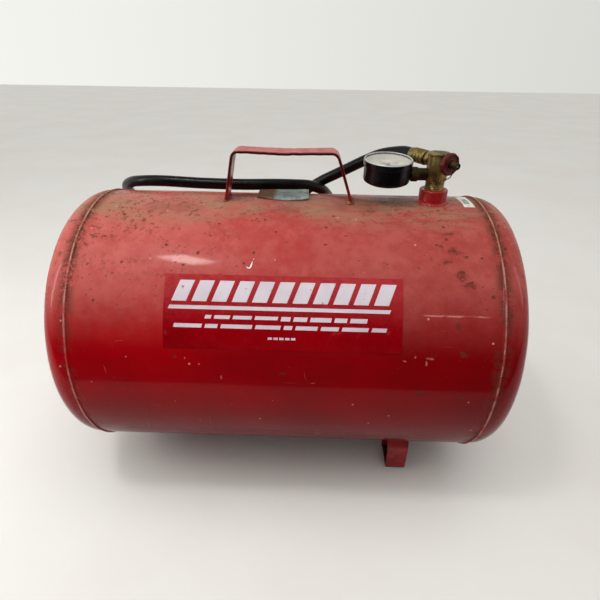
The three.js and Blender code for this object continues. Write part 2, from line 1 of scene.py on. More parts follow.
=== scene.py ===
"""Looks of a portable air receiver tank: a red enamelled vessel, brass fittings, a gauge and a rubber hose.

Metres, +Z up, X along the vessel, -Y the front. Outlines of fittings are given in millimetres, because
that is how such parts are drawn, and turned into metres where they become meshes.
"""

from math import atan2, cos, degrees, exp, hypot, pi, radians, sin, sqrt

import bmesh
import bpy
from mathutils import Matrix, Vector, noise


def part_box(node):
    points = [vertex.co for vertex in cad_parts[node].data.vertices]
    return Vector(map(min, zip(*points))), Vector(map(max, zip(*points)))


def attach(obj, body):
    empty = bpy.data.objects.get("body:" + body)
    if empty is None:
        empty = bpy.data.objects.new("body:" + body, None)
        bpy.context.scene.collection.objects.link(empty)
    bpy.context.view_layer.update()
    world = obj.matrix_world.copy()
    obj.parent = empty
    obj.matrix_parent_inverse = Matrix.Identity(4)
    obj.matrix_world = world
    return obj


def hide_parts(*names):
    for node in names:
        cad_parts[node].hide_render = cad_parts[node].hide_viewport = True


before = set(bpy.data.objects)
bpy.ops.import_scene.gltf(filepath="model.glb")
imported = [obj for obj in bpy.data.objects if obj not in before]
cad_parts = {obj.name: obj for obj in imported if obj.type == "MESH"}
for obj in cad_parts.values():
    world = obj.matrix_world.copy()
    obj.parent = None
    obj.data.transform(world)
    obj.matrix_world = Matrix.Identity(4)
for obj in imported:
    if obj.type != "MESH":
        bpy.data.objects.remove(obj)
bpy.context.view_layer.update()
MM = 0.001

# ---- places taken from the frame

shell_low, shell_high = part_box("shell")
AXIS_Z = (shell_low.z + shell_high.z) / 2
RADIUS = (shell_high.z - shell_low.z) / 2 / MM
bung_low, bung_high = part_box("port_bung")
PORT_X = (bung_low.x + bung_high.x) / 2
BUNG_RADIUS = (bung_high.x - bung_low.x) / 2 / MM
seam_low, seam_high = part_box("right_seam_weld")
SEAM = (seam_low.x + seam_high.x) / 2 / MM

# ---- sizes, in millimetres

WALL = 2.3
SKIRT_END = 216.0
KNUCKLE = 26.0
CROWN = 300.0
LOW_PORT = 182.4        # heights above the vessel's axis, down to HEX_TOP
HIGH_PORT = 196.5
BUNG_TOP = 167.0
HEX_BASE = 176.5
HEX_TOP = 203.3
HEX_FLATS = 20.6
NUT_FLATS = 13.2
GAUGE_REACH = 53.3
GAUGE_TILT = 5.0        # degrees
GAUGE_RADIUS = 25.2
FERRULE_END = 42.0
FILL_VALVE_END = 28.6

# ---- camera

CAMERA_PLACE = (0.0252, -0.4909, 0.4832)
CAMERA_HEADING, CAMERA_PITCH, CAMERA_ROLL = 1.42, 29.66, 0.79
CAMERA_LENS = 26.64


def shown(name, data):
    made = bpy.data.objects.new(name, data)
    bpy.context.scene.collection.objects.link(made)
    return made


def rotated(turn, axis):
    return Matrix.Rotation(radians(turn), 4, axis)


def make_camera():
    data = bpy.data.cameras.new("camera")
    data.lens = CAMERA_LENS
    data.sensor_width = 36.0
    camera = shown("camera", data)
    turn = rotated(CAMERA_HEADING, "Z") @ rotated(90 - CAMERA_PITCH, "X") @ rotated(CAMERA_ROLL, "Z")
    camera.matrix_world = Matrix.Translation(CAMERA_PLACE) @ turn
    bpy.context.scene.camera = camera


make_camera()

# ---- node trees


def operator(name, swapped=False):
    return lambda self, other: self.tree.reckon(name, *((other, self) if swapped else (self, other)))


class Value:
    """A node's output. Arithmetic on it adds Math nodes."""

    def __init__(self, tree, socket):
        self.tree, self.socket = tree, socket

    __add__, __radd__ = operator("ADD"), operator("ADD", swapped=True)
    __sub__, __mul__, __truediv__ = operator("SUBTRACT"), operator("MULTIPLY"), operator("DIVIDE")
    __pow__, __lt__ = operator("POWER"), operator("LESS_THAN")

    def __abs__(self):
        return self.tree.reckon("ABSOLUTE", self)

    def ease(self, low, high, start=0, end=1, form="SMOOTHSTEP"):
        """A smooth step from start at low to end at high."""
        return self.tree.value("MapRange", enumerate((self, low, high, start, end)), interpolation_type=form)


def most(first, *others):
    for other in others:
        first = first.tree.reckon("MAXIMUM", first, other)
    return first


class Tree:
    """A node tree written as a chain of calls: each call adds one node and returns its output."""

    def __init__(self, owner, shader="BsdfPrincipled", output="OutputMaterial", place="Object"):
        owner.use_nodes = True
        self.owner, self.tree = owner, owner.node_tree
        self.tree.nodes.clear()
        self.shader = self.add(shader)
        self.tree.links.new(self.shader.outputs[0], self.add(output).inputs[0])
        self.place = self.value("TexCoord", output=place)

    def fill(self, node, inputs):
        """Sets or links a node's inputs, from pairs of a socket's name or number and its value."""
        for key, value in inputs:
            if isinstance(value, Value):
                self.tree.links.new(value.socket, node.inputs[key])
            else:
                node.inputs[key].default_value = value

    def add(self, kind, inputs=(), **settings):
        node = self.tree.nodes.new("ShaderNode" + kind)
        for name, value in settings.items():
            setattr(node, name, value)
        self.fill(node, inputs)
        return node

    def value(self, kind, inputs=(), output=0, **settings):
        return Value(self, self.add(kind, inputs, **settings).outputs[output])

    def reckon(self, operation, *values):
        return self.value("Math", enumerate(values), operation=operation)

    def split(self, vector=None):
        node = self.add("SeparateXYZ", ((0, vector or self.place),))
        return [Value(self, output) for output in node.outputs]

    def facing(self):
        """The x, y and z of the direction that the surface faces."""
        return self.split(self.value("NewGeometry", output="Normal"))

    def joined(self, *values):
        return self.value("CombineXYZ", enumerate(values))

    def noise(self, scale, detail=3, roughness=0.55, place=None):
        return self.value("TexNoise", (("Vector", place or self.place), ("Scale", scale),
                                       ("Detail", detail), ("Roughness", roughness)))

    def cells(self, scale, place=None):
        """Distance to the nearest cell's centre, and a random number for each cell."""
        node = self.add("TexVoronoi", (("Vector", place or self.place), ("Scale", scale)))
        return Value(self, node.outputs["Distance"]), self.split(Value(self, node.outputs["Color"]))[0]

    def layers(self, tone, *coats):
        """A colour with coats over it, each with its share. A colour is an output or a hex code."""
        for share, coat in coats:
            tone, coat = (colour(c) if isinstance(c, str) else c for c in (tone, coat))
            tone = self.value("Mix", ((0, share), (6, tone), (7, coat)), output=2, data_type="RGBA")
        return tone

    def level(self, share, first, second):
        """Blends two numbers."""
        return self.value("Mix", ((0, share), (2, first), (3, second)))

    def out(self, tone, rough, relief, depth, strength):
        """The finished material. Where relief is 1, the bump stands depth metres proud."""
        bump = self.value("Bump", (("Strength", strength), ("Distance", depth), ("Height", relief)))
        self.fill(self.shader, (("Base Color", tone), ("Roughness", rough), ("Normal", bump)))
        return self.owner


def colour(code):
    """Linear colour of a hex code such as 'a8141c'."""
    values = [int(code[i:i + 2], 16) / 255 for i in (0, 2, 4)]
    linear = [v / 12.92 if v <= 0.04045 else ((v + 0.055) / 1.055) ** 2.4 for v in values]
    return (*linear, 1.0)


def begin(name, **sockets):
    """A new material's tree. sockets are constants set on its shader."""
    t = Tree(bpy.data.materials.new(name))
    for socket, value in sockets.items():
        t.shader.inputs[socket.replace("_", " ").title().replace("Ior", "IOR")].default_value = value
    return t


# ---- materials

# Single marks on the front of the vessel: millimetres along, degrees from the top, half sizes in millimetres.
RUST_PATCHES = [
    (166, 33, 7, 6), (163, 25, 6, 2.5), (171, 43, 6, 5), (178, 47, 6, 3.5), (158, 37, 4, 2.5),
    (177, 35, 4, 2), (151, 30, 3, 2), (168, 61, 5, 3), (173, 72, 4, 4)]
DARK_CHIPS = [
    (192.4, 35.5, 1.6, 1.3), (136.4, 87.7, 3.6, 1.5), (177.4, 89.5, 2.8, 1.2), (-106.6, 40.2, 1.7, 1.5),
    (-99.3, 41.3, 1.6, 1.4), (-10.7, 25.6, 1.5, 1.2), (1.2, 81.2, 4, 1.2), (-70, 22, 2, 1.3),
    (40, 31, 2.4, 1.4), (60, 27, 2.2, 1.1), (96, 57, 1.3, 1.8)]
LIGHT_CHIPS = [
    (118, 74.5, 2, 0.8), (143.7, 73.5, 2.6, 1.2), (139, 75.5, 1, 3), (128, 73, 0.9, 1.4),
    (-133, 39, 1.4, 0.9), (-60, 83, 0.7, 2.4), (30, 85, 2, 0.6), (-94, 76, 0.8, 1.6)]


def from_top(t, y, z):
    """The angle round the vessel, from its top towards the front."""
    return t.reckon("ARCTAN2", y * -1, z - AXIS_Z)


def height_on_vessel(z):
    """From -1 at the vessel's bottom to 1 at its top."""
    return (z - AXIS_Z) / (RADIUS * MM)


def spots(t, marks, ragged, fine):
    """Where any of the marks is. Noise moves their outlines by up to ragged millimetres and frays them."""
    x, y, z = t.split()
    girth = from_top(t, y, z) * RADIUS
    along = x * (1 / MM) + (fine - 0.5) * (ragged * 2)
    girth = girth + (t.noise(55) - 0.5) * (ragged * 2)
    total = 0
    for place, angle, half_length, half_width in marks:
        across = girth - radians(angle) * RADIUS
        reach = ((along - place) * (1 / half_length)) ** 2 + (across * (1 / half_width)) ** 2 + fine * 3
        total = most(reach.ease(2.8, 2), total)
    return total


def scratches(t, place, scale, thinness):
    """Thin broken lines: the level lines of a stretched noise, kept where a wider noise is high."""
    line = abs(t.noise(scale, 1, 0.4, place) - 0.5)
    return line.ease(thinness, 0) * t.noise(scale * 0.9, 2).ease(0.64, 0.72)


def red_paint(name, weld=False):
    """Aged red enamel: hazed above, partly chalky and partly a painted sheen of the light above, with painted
    shade low down and to the right; dirty along the top, pitted and rust-stained, most by the seams.
    """
    t = begin(name, specular_ior_level=0.05, coat_weight=0.13, coat_roughness=0.085)
    x, y, z = t.split()
    height = height_on_vessel(z)
    girth = from_top(t, y, z) * (RADIUS * MM)
    broad, fine, grain = t.noise(9, 4, 0.6), t.noise(70, 5, 0.65), t.noise(420, 3, 0.6)
    left, right = x.ease(0.04, -0.16), x.ease(0.09, 0.19)
    seam = abs(abs(x) - SEAM * MM).ease(0.012, 0.001)
    seam_dirt = seam * most(right, left * height.ease(0, 0.75, 0.25, 1))

    # Painted shade: the colour darkens towards the bottom of the vessel and towards its right end.
    painted_shade = most(height.ease(0.1, -0.6, 0, 0.88), x.ease(-0.1, 0.2, 0, 0.55))
    # The upper half is hazed: partly chalky paint, partly a painted sheen of the light above, brighter
    # towards the left end.
    haze_and_painted_sheen = height.ease(0.25, 0.8) * (fine + broad).ease(0.6, 1.4, 0.3, 0.66) * (1 + left * 0.25)
    wiped = t.noise(75, 5, 0.7, t.joined(x * 0.3, y, z))
    dirt = height.ease(0.885, 0.99) * (wiped + broad * 0.7).ease(0.74, 1, 0.1, 0.9)
    soot = height.ease(0.955, 0.998) * t.noise(16, 4, 0.6).ease(0.45, 0.68)
    worn = t.layers("98000a", (broad.ease(0.35, 0.7), "840008"), (painted_shade, "5a0306"), (haze_and_painted_sheen, "c0665e"),
                    (dirt, "926c55"), (soot * 0.6, "513f2e"))

    bent = t.joined(x + (grain - 0.5) * 0.006, y + (fine - 0.5) * 0.008, z)
    pit, pit_chance = t.cells(125, bent)
    speck, speck_chance = t.cells(300, bent)
    zone = most(height.ease(0.35, 0.85) * (0.03 + left * 0.2), height.ease(-0.3, 0.4) * right * 0.12,
                seam_dirt * 0.35, 0.006)
    patchy = zone * t.noise(24).ease(0.4, 0.6, 0.15, 1.6)
    pits = most((pit_chance < patchy) * pit.ease(0.3, 0.12),
                (speck_chance < patchy) * speck.ease(0.34, 0.16) * 0.8, spots(t, DARK_CHIPS, 2, fine))
    mottle = (t.noise(150, 5, 0.7).ease(0.53, 0.6) * t.noise(21).ease(0.4, 0.58)
              * most(left * height.ease(0.6, 0.88), height.ease(0.86, 0.97) * 0.8))
    blotch = spots(t, RUST_PATCHES, 9, t.noise(150, 5, 0.7)) * grain.ease(0.4, 0.6, 0.4, 1)
    stain = seam_dirt * (fine * 0.6 + grain * 0.4 + height * 0.06).ease(0.45, 0.57)
    worn = t.layers(worn, (mottle * 0.8, "6b3a2b"), (stain * 0.85, "532b20"), (blotch * 0.88, "5c2c1f"),
                    (pits * 0.8, "4f2a20"))

    lines = most(scratches(t, t.joined(x * 0.14, girth, z), 60, 0.005),
                 scratches(t, t.joined(x, girth * 0.3, 0), 34, 0.004)) * 0.4
    fleck, fleck_chance = t.cells(210)
    flecks = (fleck_chance < 0.012) * fleck.ease(0.3, 0.15) * 0.8
    streak = (abs(girth - (0.1523 + fine * 0.003)).ease(0.0012, 0.0002) * x.ease(0.128, 0.14)
              * x.ease(0.2, 0.185) * fine.ease(0.4, 0.56, 0.2, 1))
    chips = spots(t, LIGHT_CHIPS, 3, fine)
    worn = t.layers(worn, (most(lines, flecks, streak * 0.6, chips * 0.35), "d08a80"))
    if weld:
        reach = t.reckon("SQRT", y * y + (z - AXIS_Z) ** 2)
        crest = (reach - (RADIUS + 0.95) * MM).ease(0, 0.4 * MM)
        bare = t.layers("c07a70", (height.ease(0.72, 0.93), "b3866a"))
        worn = t.layers(worn, (crest * fine.ease(0.38, 0.6, 0.15, 0.85), bare))

    rough = t.level((broad + fine * 0.6).ease(0.5, 1.1), 0.16, 0.27)
    rough = t.level(most(dirt, haze_and_painted_sheen * 0.35), rough, 0.6)
    rough = t.level(most(pits, stain * 0.8, mottle * 0.6, blotch), rough, 0.85)
    relief = pits * -1 + most(blotch, stain) * grain + grain * 0.05
    return t.out(worn, rough, relief, 0.00025, 0.7)


def plain_red(name, painted_edge_shade=False, painted_side_shade=False):
    """Red enamel on small parts: dulled in patches, and dusty on what faces up, where part of the lighter
    colour is a painted sheen of the light above. With painted edge shade, the edges that face front and back
    carry painted shade, near black, less so near the vessel. With painted side shade, what faces left and
    right carries painted shade in patches, and a painted contact shadow runs along the floor."""
    t = begin(name, specular_ior_level=0.35, coat_weight=0.15, coat_roughness=0.12)
    facing = t.facing()
    height = t.split()[2]
    fine = t.noise(120, 4, 0.6)
    # What faces up is lighter: settled dust, partly a painted sheen of the light above.
    dust = facing[2].ease(0.3, 1) * fine.ease(0.25, 0.75, 0.15, 0.45)
    chips = t.noise(260, 5, 0.7).ease(0.67, 0.71)
    worn = t.layers("a2060e", (fine.ease(0.3, 0.75), "880308"), (dust, "a8443e"), (chips * 0.7, "45201a"))
    if painted_edge_shade:
        # Painted shade: the edges that face front and back turn near black, more so higher up the handle's
        # legs.
        high = (height + fine * 0.02).ease(AXIS_Z + 0.165, AXIS_Z + 0.19, 0.25, 0.93)
        worn = t.layers(worn, (abs(facing[1]).ease(0.55, 0.85) * high, "1c0b0a"))
    if painted_side_shade:
        # Painted shade: what faces left and right darkens to near black in patches, and a painted contact
        # shadow runs along the floor.
        cut = abs(facing[0]).ease(0.6, 0.9, fine.ease(0.4, 0.7, 0.1, 0.45), 0.85)
        floor = (height + t.noise(240) * -0.008).ease(0.003, -0.001)
        worn = t.layers(worn, (most(cut, floor * 0.95), "260605"))
    rough = t.level(chips, fine.ease(0.2, 0.9, 0.25, 0.5), 0.8)
    return t.out(worn, rough, chips * -1 + fine * 0.2, 0.0002, 0.6)


def weld_metal():
    """Bare weld beads on the handle: rusty golden brown with soot between the ripples."""
    t = begin("rusty_weld_bead", metallic=0.3)
    patch, fine = t.noise(180, 4, 0.65), t.noise(700, 4, 0.65)
    tone = t.layers("8d6840", (patch.ease(0.35, 0.65), "5c3826"), (fine.ease(0.55, 0.7, 0, 0.7), "2c1a14"))
    return t.out(tone, fine.ease(0.3, 0.7, 0.4, 0.75), fine + patch, 0.0003, 0.6)


def old_metal(name, bright, dull, dark, rough=(0.28, 0.55), scale=260, metallic=0.92):
    """Aged bare metal: tarnish in soft patches, dirt in small spots, a fine grain."""
    t = begin(name, metallic=metallic)
    patch, fine = t.noise(scale * 0.35, 4, 0.6), t.noise(scale * 2.2, 4, 0.65)
    dirt = (fine * 0.6 + patch * 0.4).ease(0.53, 0.63)
    tone = t.layers(bright, (patch.ease(0.36, 0.66), dull), (dirt * 0.75, dark))
    rough = t.level(dirt, patch.ease(0.3, 0.7, *rough), 0.75)
    return t.out(tone, rough, fine + dirt * -0.6, 0.00012, 0.5)


def soft_plastic(name, base, worn, rough=(0.28, 0.5), scale=300, strength=0.25, dust="6a6862", dusty=0.25):
    """Plastic, rubber, ink or thick paint: a fine skin grain, rubbed patches and some settled dust."""
    t = begin(name, specular_ior_level=0.3)
    patch, grain = t.noise(scale * 0.3, 4, 0.6), t.noise(scale * 4, 3, 0.6)
    settled = t.facing()[2].ease(0.1, 1) * grain.ease(0.3, 0.8) * dusty
    tone = t.layers(base, (patch.ease(0.4, 0.72), worn), (settled, dust))
    return t.out(tone, t.level(settled, patch.ease(0.25, 0.75, *rough), 0.8), grain, 0.0001, strength)


def hose_rubber():
    """Black extruded rubber, rubbed in patches, with dust on what faces up."""
    t = begin("hose_rubber", specular_ior_level=0.2)
    patch, grain = t.noise(28, 4, 0.65), t.noise(900, 3, 0.6)
    settled = t.facing()[2].ease(0.35, 1) * t.noise(60, 4).ease(0.5, 0.75) * 0.14
    tone = t.layers("050506", (patch.ease(0.42, 0.7), "0d0c0e"), (settled, "4c4843"))
    rough = t.level(settled, patch.ease(0.3, 0.7, 0.26, 0.42), 0.7)
    return t.out(tone, rough, grain + patch, 0.00012, 0.4)


def decal_film():
    """The darker red vinyl panel, hazed towards its top, partly by a painted sheen of the light above, and a
    little scuffed.
    """
    t = begin("decal_film", specular_ior_level=0.1, coat_weight=0.1, coat_roughness=0.12)
    broad, fine = t.noise(12), t.noise(90, 4, 0.65)
    # Towards the top the film is lighter: partly a dull haze, partly a painted sheen of the light above.
    haze_and_painted_sheen = height_on_vessel(t.split()[2]).ease(0.4, 0.75) * (broad + fine).ease(0.7, 1.3, 0.4, 0.8)
    tone = t.layers("8c000a", (broad.ease(0.35, 0.7), "780008"), (haze_and_painted_sheen, "ae3338"),
                    (fine.ease(0.6, 0.75) * 0.35, "b23c3c"))
    return t.out(tone, fine.ease(0.2, 0.8, 0.2, 0.36), fine, 0.00005, 0.4)


def decal_ink():
    """White print on the panel, yellowed a little and flaked in spots."""
    t = begin("decal_ink", specular_ior_level=0.25)
    fine = t.noise(150, 5, 0.7)
    tone = t.layers("cec4cc", (t.noise(20).ease(0.4, 0.7), "c2b2bc"), (fine.ease(0.66, 0.7), "a0222a"))
    return t.out(tone, fine.ease(0.2, 0.8, 0.3, 0.5), fine, 0.00003, 0.3)


def plate_metal():
    """Weathered grey-green plate, its left end stained brown, with oxide bloom and scuffs."""
    t = begin("plate_metal", specular_ior_level=0.12)
    patch, fine = t.noise(75, 5, 0.65), t.noise(420, 4, 0.7)
    brown = (t.split()[0] + patch * 0.03).ease(0.003, -0.006) * 0.95
    tone = t.layers("8f9c96", (patch.ease(0.38, 0.66), "6c7973"), (fine.ease(0.48, 0.7) * 0.6, "bcc3bd"),
                    (brown, "6a452c"))
    return t.out(tone, patch.ease(0.3, 0.7, 0.4, 0.75), patch + fine, 0.0004, 0.6)


def label_paper():
    """White label with a plain grey-green bar printed down its middle."""
    t = begin("label_paper")
    x, y, _ = t.split()
    low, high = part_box("inspection_label")
    middle, length = (low.x + high.x) / 2, high.y - low.y
    across = abs(x - middle).ease(0.0032, 0.0028)
    along = (y.ease(low.y + 0.22 * length, low.y + 0.25 * length)
             * y.ease(high.y - 0.28 * length, high.y - 0.31 * length))
    fine = t.noise(300, 4, 0.65)
    bar = across * along * fine.ease(0.7, 0.45)
    tone = t.layers("e4e2da", (fine.ease(0.35, 0.75), "c3bdb0"), (bar, "6f7f76"))
    return t.out(tone, fine.ease(0.3, 0.7, 0.4, 0.6), fine, 0.00008, 0.4)


def lens_glass():
    """Clear polycarbonate with a faint haze of fine scratches."""
    t = begin("lens_glass", transmission_weight=0.97, ior=1.49, specular_ior_level=0.35)
    fine = t.noise(500, 4, 0.7)
    tone = t.layers("f4f6f4", (fine.ease(0.3, 0.8), "dfe3df"))
    return t.out(tone, fine.ease(0.4, 0.8, 0.04, 0.2), fine, 0.00003, 0.2)


PAINT = red_paint("aged_red_paint")
WELD = red_paint("weld_red_paint", weld=True)
SMALL_PAINT = plain_red("small_part_red_paint")
HANDLE_PAINT = plain_red("handle_red_paint", painted_edge_shade=True)
FOOT_PAINT = plain_red("foot_red_paint", painted_side_shade=True)
WELD_METAL = weld_metal()
BRASS = old_metal("aged_brass", "9c8852", "73623a", "332a18", (0.34, 0.58))
DARK_BRASS = old_metal("tarnished_brass", "564c33", "3d3520", "1b170f", (0.36, 0.6))
STEEL = old_metal("plated_steel", "a6a7a8", "7d7d7c", "45403a", (0.22, 0.45), 500)
BEZEL = old_metal("bezel_metal", "b9b9b4", "a3a29b", "77746a", (0.3, 0.5), metallic=0.4)
CHROME = old_metal("chuck_plating", "bfb9aa", "9a937f", "5b523f", (0.15, 0.4))
KNOB = soft_plastic("knob_plastic", "580c10", "3e0f10", (0.4, 0.65), 420, 0.4, "4a3026", 0.4)
CASE = soft_plastic("gauge_case_plastic", "08080a", "101013", (0.16, 0.34), 200, 0.2, "4a4a46", 0.12)
DIAL = soft_plastic("dial_face", "c0b9ac", "b1a99b", (0.4, 0.6), 120, 0.05, "b5ab9c", 0.3)
INK = soft_plastic("dial_ink_black", "1a1a1a", "2b2a28", (0.4, 0.6), strength=0.05)
RED_INK = soft_plastic("dial_ink_red", "b0342e", "9c4038", (0.4, 0.6), strength=0.05)
RUBBER = soft_plastic("seal_rubber", "101010", "1d1c1b", (0.5, 0.75), 500, 0.4)
HOSE = hose_rubber()
FILM = decal_film()
PRINT = decal_ink()
DRIP = soft_plastic("white_paint_drip", "e6e0dc", "d2c6c0", (0.25, 0.4), strength=0.2, dust="b8a49c")
PLATE = plate_metal()
LABEL = label_paper()
GLASS = lens_glass()

# ---- meshes


def piece(name, vertices, faces, material, slot, body="tank", stands_for=None, sharp=35):
    """A shaded mesh object in the row frame, riding on its body. A name that is a CAD node's plus one more
    word, such as port_bung_turned, stands for that node."""
    mesh = bpy.data.meshes.new(name)
    mesh.from_pydata([tuple(v) for v in vertices], [], faces)
    outward = bmesh.new()
    outward.from_mesh(mesh)
    bmesh.ops.recalc_face_normals(outward, faces=outward.faces)
    outward.to_mesh(mesh)
    outward.free()
    mesh.shade_smooth()
    mesh.set_sharp_from_angle(angle=radians(sharp))
    mesh.materials.append(material)
    made = shown(name, mesh)
    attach(made, body)
    node = stands_for or name.rsplit("_", 1)[0]
    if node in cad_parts:
        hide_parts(node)
    return made


def rounded(outline, radius, steps=3, closed=True):
    """The outline with each corner turned into a small arc."""
    points = [Vector(p) for p in outline]
    result = []
    for i, corner in enumerate(points):
        before, after = points[i - 1], points[(i + 1) % len(points)]
        ends = not closed and i in (0, len(points) - 1)
        on_axis = closed and corner[1] == 0
        if ends or on_axis:
            result.append(corner)
            continue
        reach = min(radius, (before - corner).length * 0.45, (after - corner).length * 0.45)
        start = corner + (before - corner).normalized() * reach
        end = corner + (after - corner).normalized() * reach
        for step in range(steps + 1):
            share = step / steps
            result.append(start * (1 - share) ** 2 + corner * 2 * share * (1 - share) + end * share ** 2)
    return result


def round_at(size, angle):
    return size * cos(angle), size * sin(angle)


def skin(rings):
    """The faces between each ring of vertex numbers and the next. A ring may be one vertex, repeated."""
    faces = []
    for first, second in zip(rings, rings[1:]):
        for i in range(len(first)):
            j = (i + 1) % len(first)
            corners = tuple(dict.fromkeys((first[i], first[j], second[j], second[i])))
            if len(corners) > 2:
                faces.append(corners)
    return faces


def revolve(outline, steps, shape):
    """A solid of revolution about +X from a closed outline of (along, radius) points, in millimetres.
    shape(along, radius, angle) moves each point."""
    vertices, rings = [], []
    for along, radius in outline:
        if radius < 1e-9:
            rings.append([len(vertices)] * steps)
            vertices.append(Vector((along, 0, 0)))
            continue
        rings.append(list(range(len(vertices), len(vertices) + steps)))
        for i in range(steps):
            angle = 2 * pi * i / steps
            a, r = shape(along, radius, angle)
            vertices.append(Vector((a, *round_at(r, angle))))
    return vertices, skin([*rings, rings[0]])


def turned(name, outline, matrix, material, slot, steps=96, round_off=0, shape=lambda a, r, _: (a, r),
           **more):
    """A revolved piece from an outline in millimetres. matrix puts its axis, +X, in place."""
    smooth = rounded(outline, round_off) if round_off else [Vector(p) for p in outline]
    vertices, faces = revolve(smooth, steps, shape)
    return piece(name, [matrix @ (v * MM) for v in vertices], faces, material, slot, **more)


def tube(path, radius, sides, closed=False, squeeze=1.0, away=None):
    """A tube along a path of points. radius(i, angle) may vary; with away, squeeze flattens it towards
    away(point), the direction out of the surface that the tube lies on."""
    count = len(path)
    tangents = []
    for i in range(count):
        before = path[i - 1] if closed or i else path[0]
        after = path[(i + 1) % count] if closed or i < count - 1 else path[i]
        tangents.append((after - before).normalized())
    normal = tangents[0].orthogonal().normalized()
    vertices = []
    for i, (point, tangent) in enumerate(zip(path, tangents)):
        if away:
            normal = away(point)
        normal = (normal - tangent * normal.dot(tangent)).normalized()
        side = tangent.cross(normal)
        for k in range(sides):
            angle = 2 * pi * k / sides
            r = radius(i, angle) if callable(radius) else radius
            vertices.append(point + (normal * cos(angle) * squeeze + side * sin(angle)) * r)
    rings = [range(i * sides, (i + 1) * sides) for i in range(count)]
    ends = [] if closed else [tuple(reversed(rings[0])), tuple(rings[-1])]
    return vertices, skin([*rings, rings[0]] if closed else rings) + ends


def resampled(points, spacing):
    """The same open line with points a steady distance apart."""
    lengths = [0.0]
    for a, b in zip(points, points[1:]):
        lengths.append(lengths[-1] + (b - a).length)
    count = max(2, round(lengths[-1] / spacing))
    result, j = [], 0
    for i in range(count + 1):
        goal = lengths[-1] * i / count
        while j < len(points) - 2 and lengths[j + 1] < goal:
            j += 1
        share = (goal - lengths[j]) / max(lengths[j + 1] - lengths[j], 1e-12)
        result.append(points[j].lerp(points[j + 1], min(share, 1.0)))
    return result


def smooth_line(points, steps=12):
    """A centripetal Catmull-Rom curve through the points."""
    line = [points[0] * 2 - points[1], *points, points[-1] * 2 - points[-2]]
    result = []
    for p0, p1, p2, p3 in zip(line, line[1:], line[2:], line[3:]):
        t1 = (p1 - p0).length ** 0.5
        t2 = t1 + (p2 - p1).length ** 0.5
        t3 = t2 + (p3 - p2).length ** 0.5
        for i in range(steps):
            t = t1 + (t2 - t1) * i / steps
            mid = p1.lerp(p2, (t - t1) / (t2 - t1))
            b1 = p0.lerp(p1, t / t1).lerp(mid, t / t2)
            b2 = mid.lerp(p2.lerp(p3, (t - t2) / (t3 - t2)), (t - t1) / (t3 - t1))
            result.append(b1.lerp(b2, (t - t1) / (t2 - t1)))
    return [*result, points[-1]]


# ---- local frames

ON_AXIS = Matrix.Translation((0, 0, AXIS_Z))
UP = rotated(-90, "Y")          # turns +X up


def port(azimuth, level):
    """A frame whose +X points straight out of one of the manifold's ports."""
    return Matrix.Translation((PORT_X, 0, AXIS_Z + level * MM)) @ rotated(azimuth, "Z")


AT_BUNG = port(0, 0) @ UP
GAUGE_STEM = port(180, LOW_PORT) @ rotated(-GAUGE_TILT, "X")
GAUGE = GAUGE_STEM @ Matrix.Translation((GAUGE_REACH * MM, 0, 0))
RELIEF = port(60, LOW_PORT)
KNOB_PORT = port(300, HIGH_PORT)
HOSE_PORT = port(120, HIGH_PORT)


def from_axis(x, y, z):
    """A point in metres, from millimetres measured from the middle of the vessel."""
    return ON_AXIS @ (Vector((x, y, z)) * MM)


def on_shell(x, angle, lift=0.0):
    """A point in metres on the vessel's wall: x in millimetres, angle in radians from the top to the back."""
    r = RADIUS + lift
    return from_axis(x, r * sin(angle), r * cos(angle))


def outwards(point):
    return Vector((0, point.y, point.z - AXIS_Z))


def uneven(point, spread, seed=0.0):
    """Smooth noise between about -1 and 1, with features about spread millimetres wide."""
    return noise.noise(Vector(point) / spread + Vector((seed, seed * 0.7, -seed)))


# ---- hose, made before the rest

HOSE_DIAMETER = 0.0132
HOSE_ROUTE = [
    (0.1378, 0.0368, 0.3789), (0.1318, 0.047, 0.3789), (0.1215, 0.0585, 0.376), (0.107, 0.069, 0.371),
    (0.088, 0.0775, 0.361), (0.069, 0.083, 0.350), (0.053, 0.087, 0.341), (0.037, 0.0925, 0.3315),
    (0.020, 0.1005, 0.3185), (0.0, 0.112, 0.302), (-0.028, 0.1245, 0.286), (-0.070, 0.1365, 0.2695),
    (-0.157, 0.1455, 0.258), (-0.1825, 0.1425, 0.2625), (-0.2035, 0.135, 0.274), (-0.218, 0.1215, 0.2905),
    (-0.223, 0.1035, 0.3075), (-0.218, 0.083, 0.322), (-0.2035, 0.0645, 0.3325), (-0.1825, 0.051, 0.338),
    (-0.157, 0.0465, 0.3395), (-0.112, 0.0455, 0.338), (-0.060, 0.045, 0.3375), (-0.019, 0.0465, 0.338),
    (0.003, 0.050, 0.337), (0.022, 0.0605, 0.3335), (0.0365, 0.0755, 0.325), (0.0435, 0.0915, 0.3155),
    (0.053, 0.1135, 0.296), (0.067, 0.139, 0.2625), (0.082, 0.1545, 0.225), (0.093, 0.1615, 0.1745),
    (0.095, 0.162, 0.1205), (0.092, 0.164, 0.0725), (0.0835, 0.166, 0.042), (0.069, 0.1675, 0.022),
    (0.049, 0.169, 0.0105), (0.027, 0.170, 0.0072), (0.006, 0.170, 0.0083), (-0.016, 0.170, 0.0083),
]


